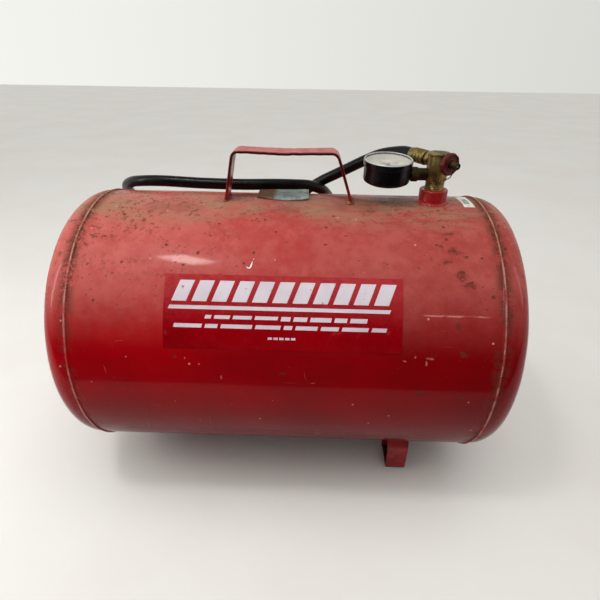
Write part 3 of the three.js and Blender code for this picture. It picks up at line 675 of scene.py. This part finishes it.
def make_chuck():
    """The air chuck on the hose's far end, lying on the floor and pointing along -X."""
    end = Matrix.Translation(HOSE_ROUTE[-1]) @ rotated(180, "Z")
    crimps = [(x, r) for start in (4, 9, 14) for x, r in ((start, 8), (start + 1.2, 7.5), (start + 2.4, 8))]
    ferrule = turned("chuck_ferrule_crimped",
                     [(0.3, 3), (0.3, 7.3), (1.5, 8), *crimps, (20, 8), (22, 7.2), (22, 3)],
                     end, BRASS, "brass", 64, 0.4)

    def knurl(along, radius, angle):
        grip = 30 < along < 43 and radius > 7
        return along, radius - (0.18 * (1 + cos(36 * angle + along * 2.2)) if grip else 0.0)

    grip = [(x * 0.5, 7.6) for x in range(60, 88)]
    body = turned("air_chuck_body", [
        (22.3, 2), (22.3, 6.2), (28, 6.2), (29, 7.6), *grip, (44.4, 7.6), (46, 6.4), (52, 6.4), (53, 7.9),
        (62, 7.9), (63, 7), (63, 4.4), (51.5, 4.4), (51.5, 3), (34, 3), (34, 2)],
        end, CHROME, "chuck", 144, shape=knurl)
    return [ferrule, body]


def make_hose():
    path = resampled(smooth_line([Vector(p) for p in HOSE_ROUTE]), 0.003)
    hose = piece("rubber_hose", *tube(path, HOSE_DIAMETER / 2, 20), HOSE, "hose", stands_for="hose")
    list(make_chuck())


make_hose()

# ---- vessel


def make_shell():
    end, count = SEAM - 0.1, 42
    skin = [(-end + 2 * end * i / count, RADIUS) for i in range(count + 1)]

    def dented(along, radius, angle):
        if radius < RADIUS - 0.01:
            return along, radius
        fade = min(1.0, (end - abs(along)) / 25)
        return along, radius + 0.32 * uneven((along, *round_at(90, angle)), 60) * fade

    turned("rolled_shell", [(-end, RADIUS - WALL), *skin, (end, RADIUS - WALL)], ON_AXIS, PAINT, "red_paint",
           224, shape=dented, stands_for="shell")

    low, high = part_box("shell_seam_weld")
    angle = atan2((low.y + high.y) / 2, (low.z + high.z) / 2 - AXIS_Z)
    line = [on_shell(-end + 4 + (2 * end - 8) * i / 330, angle, 0.1) for i in range(331)]
    out = Vector((0, sin(angle), cos(angle)))

    def ripple(i, _):
        return (2.3 + 0.25 * sin(i * 2.1) + 0.35 * uneven((i, 0, 0), 14)) * MM

    piece("shell_seam_bead", *tube(line, ripple, 12, squeeze=0.6, away=lambda p: out), WELD, "weld_paint",
          stands_for="shell_seam_weld")


def head_outline(radius, knuckle, crown, steps):
    """A dished head's outline: straight skirt, knuckle arc, then crown arc down to the axis."""
    centre = SKIRT_END - sqrt((crown - knuckle) ** 2 - (radius - knuckle) ** 2)
    meeting = atan2(radius - knuckle, SKIRT_END - centre)
    outline = []
    for i in range(steps + 1):
        x, r = round_at(knuckle, pi / 2 + (meeting - pi / 2) * i / steps)
        outline.append((SKIRT_END + x, radius - knuckle + r))
    for i in range(1, steps + 1):
        x, r = round_at(crown, meeting * (1 - i / steps))
        outline.append((centre + x, r if i < steps else 0.0))
    return outline


def make_head(side, name):
    outer = head_outline(RADIUS, KNUCKLE, CROWN, 16)
    inner = head_outline(RADIUS - WALL, KNUCKLE - WALL, CROWN - WALL, 8)
    start, lip = SEAM + 0.1, RADIUS - WALL - 0.3
    outline = [(start, RADIUS), *outer, *reversed(inner), (SEAM - 8, lip - WALL), (SEAM - 8, lip),
               (start, lip)]

    def pressed(along, radius, angle):
        rise = 0.3 * uneven((along * 1.5, *round_at(radius, angle)), 45, 5.0 + side)
        fade = min(1.0, max(0.0, (along - SEAM) / 20))
        return along + rise * fade, radius + rise * fade * 0.4

    turned(name + "_head_dished", outline, ON_AXIS @ Matrix.Scale(side, 4, (1, 0, 0)), PAINT, "red_paint",
           192, shape=pressed)


def make_girth_bead(side, name):
    """The ring weld between the shell and a head: a low crown with the crescents that a welder leaves."""
    half, height, ripples = 2.4, 1.4, 330
    crown = [(-half + 2 * half * i / 8, RADIUS - 0.4 + (height + 0.4) * sin(pi * i / 8)) for i in range(9)]

    def crescents(along, radius, angle):
        proud = max(0.0, radius - RADIUS) / height
        wander = 0.5 * uneven((*round_at(60, angle), side), 12)
        swell = 0.3 * uneven((*round_at(90, angle), along), 9, 3.0)
        return along + wander, radius + proud * (0.08 * sin(ripples * angle + 0.35 * along * along) + swell)

    turned(name + "_seam_weld_bead", crown, ON_AXIS @ Matrix.Translation((side * SEAM * MM, 0, 0)), WELD,
           "weld_paint", 5 * ripples, shape=crescents, sharp=60)


def make_bung():
    radius = BUNG_RADIUS
    grooves = []
    for i in range(10):
        z = 155.2 + i * 1.05
        grooves += [(z, radius), (z + 0.4, radius), (z + 0.6, radius - 0.13), (z + 0.8, radius)]
    turned("port_bung_turned", [
        (147, 10.6), (147, radius), *grooves, (BUNG_TOP - 1, radius), (BUNG_TOP, radius - 1),
        (BUNG_TOP, 10.6)],
        AT_BUNG, SMALL_PAINT, "red_paint")

    def laid(along, r, angle):
        ripple = 0.1 * sin(34 * angle) + 0.25 * uneven((*round_at(20, angle), 0), 7)
        ripple *= min(1.0, max(0.0, r - radius - 0.2))
        drop = (r * cos(angle)) ** 2 / (2 * RADIUS) if along > 149 else 0.0
        return along - drop + ripple, r + ripple * 1.3

    fillet = [(147, radius), (147, radius + 2.8), (RADIUS - 0.8, radius + 2.7), (RADIUS + 0.4, radius + 2.1),
              (RADIUS + 1.2, radius + 1.2), (RADIUS + 2.1, radius + 0.5), (RADIUS + 3.0, radius)]
    turned("bung_weld_bead", fillet, AT_BUNG, SMALL_PAINT, "weld_paint", 204, 0.5, shape=laid, sharp=60)


# ---- straps and their welds


def strap(name, corners, bend, thickness, width, place, keep, material, curl=lambda p, side: 0.0):
    """A bent strip of steel. corners run along its middle in a plane, place(u, v, across) puts a point in
    space, and curl(point, across) lifts its edges. Only the stretch where keep(u, v) holds is made."""
    line = rounded(corners, bend, 6, closed=False)
    line = [p for p in resampled([p.to_3d() for p in line], 1.6) if keep(p.x, p.y)]
    half, edge = thickness / 2, 0.7
    vertices, rings = [], []
    for i, p in enumerate(line):
        along = (line[min(i + 1, len(line) - 1)] - line[max(i - 1, 0)]).normalized()
        across = Vector((-along.y, along.x, 0))
        w = width(p.y) / 2
        section = [(half, edge - w), (half, -w / 3), (half, w / 3), (half, w - edge), (half - edge, w),
                   (edge - half, w)]
        section += [(-out, -side) for out, side in section]
        rings.append(range(len(vertices), len(vertices) + len(section)))
        for out, side in section:
            q = p + across * (out + curl(p, side))
            vertices.append(place(q.x, q.y, side))
    piece(name, vertices, [*skin(rings), tuple(rings[0]), tuple(rings[-1])], material, "red_paint")


def weld_loop(name, x, angle, half_x, half_arc, bead, material, extra=lambda p: 0.0):
    """A bead laid round the end of a strap on the vessel's wall. extra(point) makes it thicker."""
    corners = [(-half_x, -half_arc), (half_x, -half_arc), (half_x, half_arc), (-half_x, half_arc)]
    outline = rounded(corners, 1.5, 4)
    loop = resampled([p.to_3d() for p in [*outline, outline[0]]], 0.7)[:-1]
    path = [on_shell(x + p.x, angle + p.y / RADIUS, 0.2) for p in loop]

    def ripple(i, _):
        p = loop[i]
        return (bead + 0.2 * sin(i * 2.4) + 0.5 * uneven((p.x, p.y, x), 5) + extra(p)) * MM

    bead_skin = tube(path, ripple, 12, closed=True, squeeze=0.8, away=outwards)
    piece(name, *bead_skin, material, "weld_paint", sharp=60)


def make_handle():
    """The carrying handle. Its legs lean outwards and the grip has gone wavy along its edges."""
    corners = [(-72.3, 142), (-60.3, 204.9), (-5, 203.1), (50.8, 204.6), (71.8, 142)]

    def worn(p, side):
        grip = min(1.0, max(0.0, (p.y - 195) / 6))
        edge = (abs(side) / 13) ** 4
        return grip * (0.25 * uneven((p.x, side, 0), 30, 2.0) + 0.55 * edge * uneven((p.x, side, 0), 8, 2.0))

    strap("handle_strap", corners, 7, 3, lambda v: 26, lambda u, v, side: from_axis(u, side, v),
          lambda u, v: v > RADIUS - 2, HANDLE_PAINT, worn)
    for name, foot, top, size in (("left", *corners[:2], 0.0), ("right", *corners[:-3:-1], 1.5)):
        x = foot[0] + (top[0] - foot[0]) * (RADIUS - foot[1]) / (top[1] - foot[1])
        weld_loop(f"handle_weld_{name}_bead", x, 0.0, 2.2, 13.4, 1.2, WELD_METAL,
                  lambda p: size * exp(-(hypot(p.x + 3, p.y + 12) / 5) ** 2))


def make_foot(node, line):
    low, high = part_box(node)
    middle = (low.x + high.x) / 2 / MM
    top, bottom = -110.0, -AXIS_Z / MM

    def width(v):
        return 25 + 2.7 * (v - bottom) / (top - bottom)

    strap(node + "_strap", line, 4, 3, width, lambda u, v, side: from_axis(middle + side, u, max(v, bottom)),
          lambda u, v: hypot(u, v) > RADIUS - 2, FOOT_PAINT)
    for index, (end, corner) in enumerate(((line[0], line[1]), (line[-1], line[-2]))):
        share = (RADIUS - hypot(*end)) / (hypot(*corner) - hypot(*end))
        u, v = (end[k] + (corner[k] - end[k]) * share for k in (0, 1))
        weld_loop(f"{node}_weld_{index}", middle, atan2(u, v), width(v) / 2 + 0.2, 2.3, 1.4, SMALL_PAINT)


def make_feet():
    sole = -AXIS_Z / MM + 1.5
    front = [(-75, -122), (-86, -147), (-85.5, sole), (-48, sole), (-40, -138)]
    make_foot("front_foot", front)
    make_foot("rear_foot", [(-y, z) for y, z in reversed(front)])
    make_foot("left_foot", [(-29, -140), (-24, sole), (24, sole), (29, -140)])


# ---- plates, label and decal


def patch(corner_at, lift, thickness, columns, rows):
    """A thin closed sheet on the wall. corner_at(u, v), for u and v from 0 to 1, gives x, angle and lift."""
    vertices, faces = [], []
    for layer in (lift, lift + thickness):
        for j in range(rows + 1):
            for i in range(columns + 1):
                x, angle, rise = corner_at(i / columns, j / rows)
                vertices.append(on_shell(x, angle, layer + rise))
    row, layer = columns + 1, (columns + 1) * (rows + 1)
    for j in range(rows):
        for i in range(columns):
            a = j * row + i
            faces.append((a, a + row, a + row + 1, a + 1))
            faces.append((layer + a, layer + a + 1, layer + a + row + 1, layer + a + row))
    rim = [*range(row), *(j * row + columns for j in range(1, rows + 1)),
           *(rows * row + i for i in range(columns - 1, -1, -1)), *(j * row for j in range(rows - 1, 0, -1))]
    return vertices, faces + skin([rim, [a + layer for a in rim]])


def joined(shapes):
    vertices, faces = [], []
    for more_vertices, more_faces in shapes:
        base = len(vertices)
        vertices += more_vertices
        faces += [tuple(base + k for k in face) for face in more_faces]
    return vertices, faces


def make_plates():
    def plate_point(u, v):
        x = -37 + 58 * u + 1.2 * (v - 0.5) * sin(6 * u)
        front = -3.2 + 5.5 * (1 - sin(pi * min(1.0, 0.12 + u * 0.62)))
        angle = radians(front + (12.3 - front) * v)
        lifted = (2.4 + 1.4 * u) * v ** 1.3 + 1.2 * u ** 6 * (1 - v) + 0.5 * uneven((u * 5, v * 2, 0), 1.0)
        return x, angle, max(0.0, lifted + 0.2)

    piece("data_plate_weathered", *patch(plate_point, 0.3, 0.8, 44, 14), PLATE, "data_plate")
    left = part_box("inspection_label")[0].x / MM

    def label_point(u, v):
        return left + 11.5 * u, radians(-6 + 15 * v), 0.5 * max(0.0, v - 0.8) / 0.2 * u

    piece("inspection_label_sheet", *patch(label_point, 0.1, 0.15, 8, 20), LABEL, "label")


DECAL_LEFT, DECAL_RIGHT = -115.0, 114.0
DECAL_TOP, DECAL_BOTTOM = radians(-44.8), radians(-72.0)


def make_decal():
    """A darker red panel with a plain pattern in white: slanted bars, a stripe and rows of dashes."""
    def panel(u, v):
        return DECAL_LEFT + (DECAL_RIGHT - DECAL_LEFT) * u, DECAL_TOP + (DECAL_BOTTOM - DECAL_TOP) * v, 0.0

    piece("decal_panel", *patch(panel, 0.33, 0.08, 48, 24), FILM, "red_paint")
    marks = []

    def mark(left, width, top, height, slant):
        def point(u, v):
            return left + width * u - slant * v, DECAL_TOP - (top + height * v) / RADIUS, 0.0
        marks.append(patch(point, 0.38, 0.06, max(1, round(width / 5)), max(1, round(height / 3))))

    for i in range(11):
        mark(-100 + 19.4 * i, 14.2, 6.0, 20.5, 7.5)
    mark(-109, 212, 30.5, 3.6, 1.5)
    left = -74.0
    for i, width in enumerate((6, 15, 18, 22, 9, 13, 20, 12, 16)):
        mark(left, width, 39.5, 4.2 if i > 3 else 3.4, 1.0)
        left += width + 3.0
    left = -104.0
    for width in (27, 12, 30, 24, 8, 21, 17, 25, 14):
        mark(left, width, 48.0, 3.8, 1.0)
        left += width + 3.2
    for i in range(5):
        mark(-14 + 5.6 * i, 4.2, 59.5, 2.2, 0.0)
    piece("decal_print", *joined(marks), PRINT, "label")


def make_paint_drip():
    """A small drip of white paint with a hooked tail, on the vessel above the decal, and a spot beside it."""
    def on_front(x, down):
        return on_shell(x, radians(-down), 0.35)

    tail = (-37, 41.4), (-35.4, 42.0), (-33.6, 41.8), (-32.3, 40.6), (-31.6, 39.2)
    line = resampled(smooth_line([on_front(*p) for p in tail], 8), 0.0004)

    def swelling(i, _):
        return (0.35 + 0.55 * sin(pi * i / (len(line) - 1)) ** 2) * MM

    spot = [on_front(-30.6, a) for a in (38.1, 38.3, 38.5)]
    shapes = [tube(path, radius, 10, squeeze=0.3, away=outwards)
              for path, radius in ((line, swelling), (spot, 0.45 * MM))]
    piece("paint_drip", *joined(shapes), DRIP, "label")


# ---- shapes shared by the fittings


def hexed(flats, start, end):
    """Cuts six flats into what lies between start and end. Corners stand at angle 0 and every 60 degrees."""
    def cut(along, radius, angle):
        from_flat = (degrees(angle) + 1e-6) % 60 - 30
        cut_to = min(radius, flats / 2 / cos(radians(from_flat)))
        return along, cut_to if start <= along <= end else radius
    return cut


def threaded(pitch, depth, start, end):
    """Cuts a thread into what lies between start and end."""
    def cut(along, radius, angle):
        turn = (along / pitch - angle / (2 * pi)) % 1.0
        return along, radius - (depth * (1 - abs(2 * turn - 1)) if start <= along <= end else 0.0)
    return cut


def steps_between(start, end, radius, spacing):
    count = round((end - start) / spacing)
    return [(start + (end - start) * i / count, radius) for i in range(count + 1)]


def hex_nut(flats, start, end, chamfer=0.5):
    """The outline of a hexagon with chamfered ends, for use with hexed."""
    across = flats / sqrt(3) - 0.15
    inner = flats / 2 * 0.98
    return [(start, inner), (start + chamfer, across), (end - chamfer, across), (end, inner)]


# ---- manifold


def make_manifold():
    shank = 10.3
    neck = steps_between(158, HEX_BASE - 0.4, shank, 0.3)
    cut_hex = hexed(HEX_FLATS, HEX_BASE, HEX_TOP)
    cut_thread = threaded(1.81, 0.75, 158, HEX_BASE - 1.5)

    def cut(along, radius, angle):
        return cut_thread(*cut_hex(along, radius, angle), angle)

    turned("manifold_body_hex", [
        (156, 0), (156, shank - 1), *neck, *hex_nut(HEX_FLATS, HEX_BASE, HEX_TOP, 0.8), (HEX_TOP, 0)],
        AT_BUNG, BRASS, "brass", shape=cut)
    cap = [(0.1, 0), (0.1, 11.6), (0.5, 12.2), (1.7, 12.2), (2.3, 11.3), (2.3, 2.4), (2.0, 2.0), (2.0, 0)]
    turned("manifold_cap_disc", [(HEX_TOP + x, r) for x, r in cap], AT_BUNG, BRASS, "brass", 72, 0.3)


def make_shutoff():
    turned("shutoff_bonnet_nut", [
        (6.4, 4.3), (6.4, 5.9), (10.6, 5.9), *hex_nut(NUT_FLATS, 10.6, 13.7), (13.7, 4.3)],
        KNOB_PORT, BRASS, "brass", shape=hexed(NUT_FLATS, 10.6, 13.7))

    def scalloped(along, radius, angle):
        rim = max(0.0, (radius - 9.5) / 2.1)
        return along, radius - rim * 0.22 * (1 - cos(10 * angle))

    turned("shutoff_knob_grip", [
        (14, 4.3), (14, 10.6), (14.7, 11.6), (16.7, 11.75), (18.7, 11.6), (19.5, 10.6), (19.5, 9.8),
        (18.5, 8.9), (18.3, 6.4), (19.2, 5.8), (19.2, 4.3)],
        KNOB_PORT, KNOB, "knob", 160, 0.35, shape=scalloped, body="shutoff_knob_body")
    end = FILL_VALVE_END
    thread = steps_between(21.5, end - 0.8, 3.9, 0.2)
    turned("fill_valve_stem_threaded", [
        (7.4, 1.3), (7.4, 4), (20.8, 4), (21.3, 3.5), *thread, (end, 3.3), (end, 2.6), (12.6, 2.6),
        (12.6, 1.3)],
        KNOB_PORT, DARK_BRASS, "dark_brass", 60, shape=threaded(0.8, 0.4, 21.5, end - 0.8),
        body="shutoff_knob_body")


def make_hose_fitting():
    turned("hose_fitting_hex", [
        (8.4, 2.6), (8.4, 5.9), (10.6, 5.9), *hex_nut(NUT_FLATS, 10.6, 15.5), (15.5, 5.4), (17.2, 5.4),
        (17.2, 2.6)],
        HOSE_PORT, BRASS, "brass", shape=hexed(NUT_FLATS, 10.6, 15.5))
    ribs = [(17.5, 7.2)]
    for start in (19, 24, 29, 34):
        ribs += [(start, 8.1), (start + 2.6, 8.1), (start + 3.2, 7.4), (start + 4.4, 7.4)]

    def crimped(along, radius, angle):
        groove = radius < 7.6 and 19 < along < 40
        return along, radius - (0.12 * (1 + cos(8 * angle)) if groove else 0.0)

    end = FERRULE_END
    turned("hose_ferrule_ribbed", [(17.5, 3), *ribs, (end, 7.3), (end, 6.55), (end - 1, 3)],
           HOSE_PORT, BRASS, "brass", 64, 0.35, shape=crimped)


def make_relief_valve():
    turned("relief_valve_body_turned", [
        (5.6, 2.4), (5.6, 4.4), (10.6, 4.4), *hex_nut(13, 10.6, 17.8), (18, 6.2), (20, 6.2), (20.6, 5.6),
        (22, 5.6), (22.4, 5.9), (35, 5.9), (36, 5.2), (36, 4.3), (14.5, 4.3), (13, 2.4)],
        RELIEF, BRASS, "brass", shape=hexed(13, 10.6, 17.8))
    eye = (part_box("relief_pull_ring")[1].z - AXIS_Z) / MM - LOW_PORT
    loop, wire = 7.0, 0.62
    path = []
    for i in range(97):
        z, y = round_at(loop, 4 * pi * i / 96 + radians(200))
        path.append(RELIEF @ (Vector((41.5 + 0.64 * (i / 48 - 1), y, eye - wire - loop + z)) * MM))
    piece("relief_split_ring", *tube(path, wire * MM, 10), STEEL, "steel", body="pull_ring_body",
          stands_for="relief_pull_ring")


# ---- gauge


def second_material(made, material, where):
    """Gives the faces whose middle is where(point), in the gauge's frame, a second material."""
    made.data.materials.append(material)
    for face in made.data.polygons:
        face.material_index = int(where(GAUGE.inverted() @ face.center))


def make_gauge():
    up, radius = GAUGE @ UP, GAUGE_RADIUS
    case = turned("gauge_case_cup", [
        (-9, 0), (-9, 20), (-8.6, 22.2), (-7, 24.8), (-5, radius), (11.5, radius), (12, 24.9), (13.4, 24.9),
        (13.4, 23.9), (-7.5, 23.9), (-7.5, 0)], up, CASE, "gauge_case", 128, 0.4)
    second_material(case, DIAL, lambda p: hypot(p.x, p.y) < 24.2 * MM and p.z > 0)
    bezel = turned("gauge_bezel_ring", [
        (9.5, radius + 0.05), (9.5, 26.1), (10, 26.3), (15.3, 26.3), (16.4, 25.4), (16.4, 24.3), (15.8, 23.7),
        (15, 23.7), (15, radius + 0.05)], up, BEZEL, "gauge_bezel", 128, 0.35)
    second_material(bezel, CASE, lambda p: p.z < 15.6 * MM)
    lens = turned("gauge_lens_disc", [(13.8, 0), (13.8, 24.6), (14.9, 24.6), (14.95, 12), (15.1, 0)],
                  up, GLASS, "lens")
    lens.visible_shadow = False
    turned("gauge_dial_face", [(7, 1.5), (7, 23.4), (7.7, 23.4), (7.7, 1.5)], up, DIAL, "dial")
    turned("gauge_socket_hex", [
        (6.6, 0), (6.6, 6.4), (19.6, 6.7), (20, 6.7), *hex_nut(14, 20, 27.8, 0.6), (27.8, 4.6), (34, 4.6),
        (34, 0)],
        GAUGE_STEM, DARK_BRASS, "dark_brass", shape=hexed(14, 20, 27.8))
    make_dial_marks()


def dial_mark(angle, inner, outer, width):
    """A flat tick between two radii, on the dial's upper face."""
    out = Vector((*round_at(1, angle), 0))
    side = Vector((-out.y, out.x, 0)) * width / 2
    base = [out * inner - side, out * outer - side, out * outer + side, out * inner + side]
    vertices = [GAUGE @ ((p + Vector((0, 0, z))) * MM) for z in (7.72, 7.8) for p in base]
    return vertices, [(0, 3, 2, 1), (4, 5, 6, 7), *skin([range(4), range(4, 8)])]


def dial_number(text, angle, radius, size):
    """A number as a flat mesh, upright for a reader who has 12 o'clock at the top."""
    curve = bpy.data.curves.new("number", "FONT")
    curve.body, curve.size = text, size
    curve.align_x = curve.align_y = "CENTER"
    curve.extrude = 0.03
    made = shown("number", curve)
    mesh = made.evaluated_get(bpy.context.evaluated_depsgraph_get()).to_mesh()
    centre = Vector((*round_at(1, angle), 0)) * radius + Vector((0, 0, 7.76))
    vertices = [GAUGE @ ((centre + rotated(-90, "Z") @ v.co) * MM) for v in mesh.vertices]
    faces = [tuple(p.vertices) for p in mesh.polygons]
    bpy.data.objects.remove(made)
    return vertices, faces


def make_dial_marks():
    """The scale from 0 to 200 with its ticks, and a red band inside it."""
    zero, sweep = radians(135), radians(270)
    ticks, red = [], []
    for i in range(41):
        angle = zero - sweep * i / 40
        inner, width = (19.4, 0.45) if i % 10 else (17.6, 0.8)
        ticks.append(dial_mark(angle, inner, 21.6, width))
        if i % 4 == 0:
            red.append(dial_mark(angle, 10.4, 12.6, 1.2))
    numbers = [dial_number(str(50 * i), zero - sweep * i / 4, 14.8, 4.4) for i in range(5)]
    piece("dial_scale", *joined(ticks + numbers), INK, "pointer")
    arc = [dial_mark(zero - sweep * (i + 0.5) / 60, 9.2, 10.4, 0.8) for i in range(60)]
    piece("dial_inner_scale", *joined(red + arc), RED_INK, "pointer")


# ---- CAD nodes that keep their shape and get a better material

KEPT = {
    BRASS: ("fill_valve_core", "shutoff_plunger", "relief_stem", "relief_cap", "gauge_pinion", "gauge_sector",
            "gauge_link", "gauge_movement_frame", "gauge_bourdon_tube"),
    STEEL: ("fill_valve_pin", "fill_valve_spring", "relief_spring", "chuck_pin", "chuck_spring"),
    INK: ("gauge_pointer",),
    RUBBER: ("chuck_seal",),
}


def dress_kept_nodes():
    for material, names in KEPT.items():
        for name in names:
            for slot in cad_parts[name].material_slots:
                slot.material = material


# ---- studio

CARD_DISTANCE, CARD_BASE = 2.0, 0.15
CARD_DARK_TO, CARD_TOP, CARD_GLOW = 1.0, 2.8, 1.2
TABLE_EDGE = -0.43


def stage_sheet(name, near, far, half_width, material):
    """A flat sheet between two edges along X, each given by its y and z."""
    corners = [(-half_width, *near), (half_width, *near), (half_width, *far), (-half_width, *far)]
    mesh = bpy.data.meshes.new(name)
    mesh.from_pydata(corners, [], [(0, 1, 2, 3)])
    mesh.materials.append(material)
    made = shown(name, mesh)
    return made


def floor_material():
    t = begin("pale_table")
    broad, weave = t.noise(3.5, 4, 0.6), t.noise(700, 2, 0.6)
    tone = t.layers("dedcd8", (broad.ease(0.3, 0.75), "dad7d2"))
    return t.out(tone, broad.ease(0.2, 0.8, 0.56, 0.62), weave, 0.0002, 0.3)


def card_material():
    """A studio card: black low down, fading to pale towards its top."""
    t = Tree(bpy.data.materials.new("dark_card"), "Emission")
    glow = t.split()[2].ease(CARD_DARK_TO, CARD_TOP, 0.012, CARD_GLOW)
    t.fill(t.shader, (("Color", (1, 0.97, 0.93, 1)), ("Strength", glow)))
    return t.owner


def make_world():
    """A pale sky, brighter near the horizon and to the left."""
    world = bpy.context.scene.world = bpy.data.worlds.new("studio")
    t = Tree(world, "Background", "OutputWorld", "Generated")
    x, _, z = t.split()
    glow = z.ease(0.08, 0.8, 0.8, 0.36) * x.ease(-1, 1, 1.25, 0.75, "LINEAR")
    t.fill(t.shader, (("Color", (1, 1, 0.95, 1)), ("Strength", glow)))


def lamp(name, place, target, size, power):
    data = bpy.data.lights.new(name, "AREA")
    data.shape, data.size, data.size_y = "RECTANGLE", *size
    data.energy = power
    made = shown(name, data)
    aim = (Vector(target) - Vector(place)).to_track_quat("-Z", "Y").to_matrix().to_4x4()
    made.matrix_world = Matrix.Translation(place) @ aim
    return made


def make_studio():
    stage_sheet("table_top", (-6, 0), (6, 0), 6, floor_material())
    card, base = card_material(), (-CARD_DISTANCE, CARD_BASE)
    front = stage_sheet("front_card", base, (-CARD_DISTANCE, CARD_TOP), 3, card)
    low = stage_sheet("low_card", base, (TABLE_EDGE, 0.004), 3, card)
    for sheet in (front, low):
        sheet.visible_camera = sheet.visible_shadow = sheet.visible_transmission = False
    low.visible_diffuse = False
    make_world()
    near = lamp("near_light", (-0.6, -0.25, 1.25), (-0.1, -0.05, 0.2), (1, 0.8), 3)
    sky = lamp("sky_light", (0.22, -0.3, 1.6), (0, 0, 0), (1, 1), 1.3)
    sky.data.type = "SUN"
    sky.data.angle = radians(50)
    near.visible_glossy = sky.visible_glossy = False
    lamp("small_window", (-0.44, -0.37, 1.51), (-0.11, -0.096, 0.3), (0.2, 0.12), 3.8)
    lamp("left_strip", (-1.1, -0.35, 0.75), (-0.25, 0, 0.2), (0.12, 0.7), 4)
    lamp("right_strip", (1.2, -0.15, 0.8), (0.25, 0, 0.2), (0.12, 0.7), 1.2)


# ---- everything

make_shell()
for side, side_name in ((-1, "left"), (1, "right")):
    make_head(side, side_name)
    make_girth_bead(side, side_name)
make_bung()
make_handle()
make_feet()
make_plates()
make_decal()
make_paint_drip()
make_manifold()
make_shutoff()
make_hose_fitting()
make_relief_valve()
make_gauge()
dress_kept_nodes()
make_studio()
bpy.context.scene.view_settings.view_transform = "Standard"
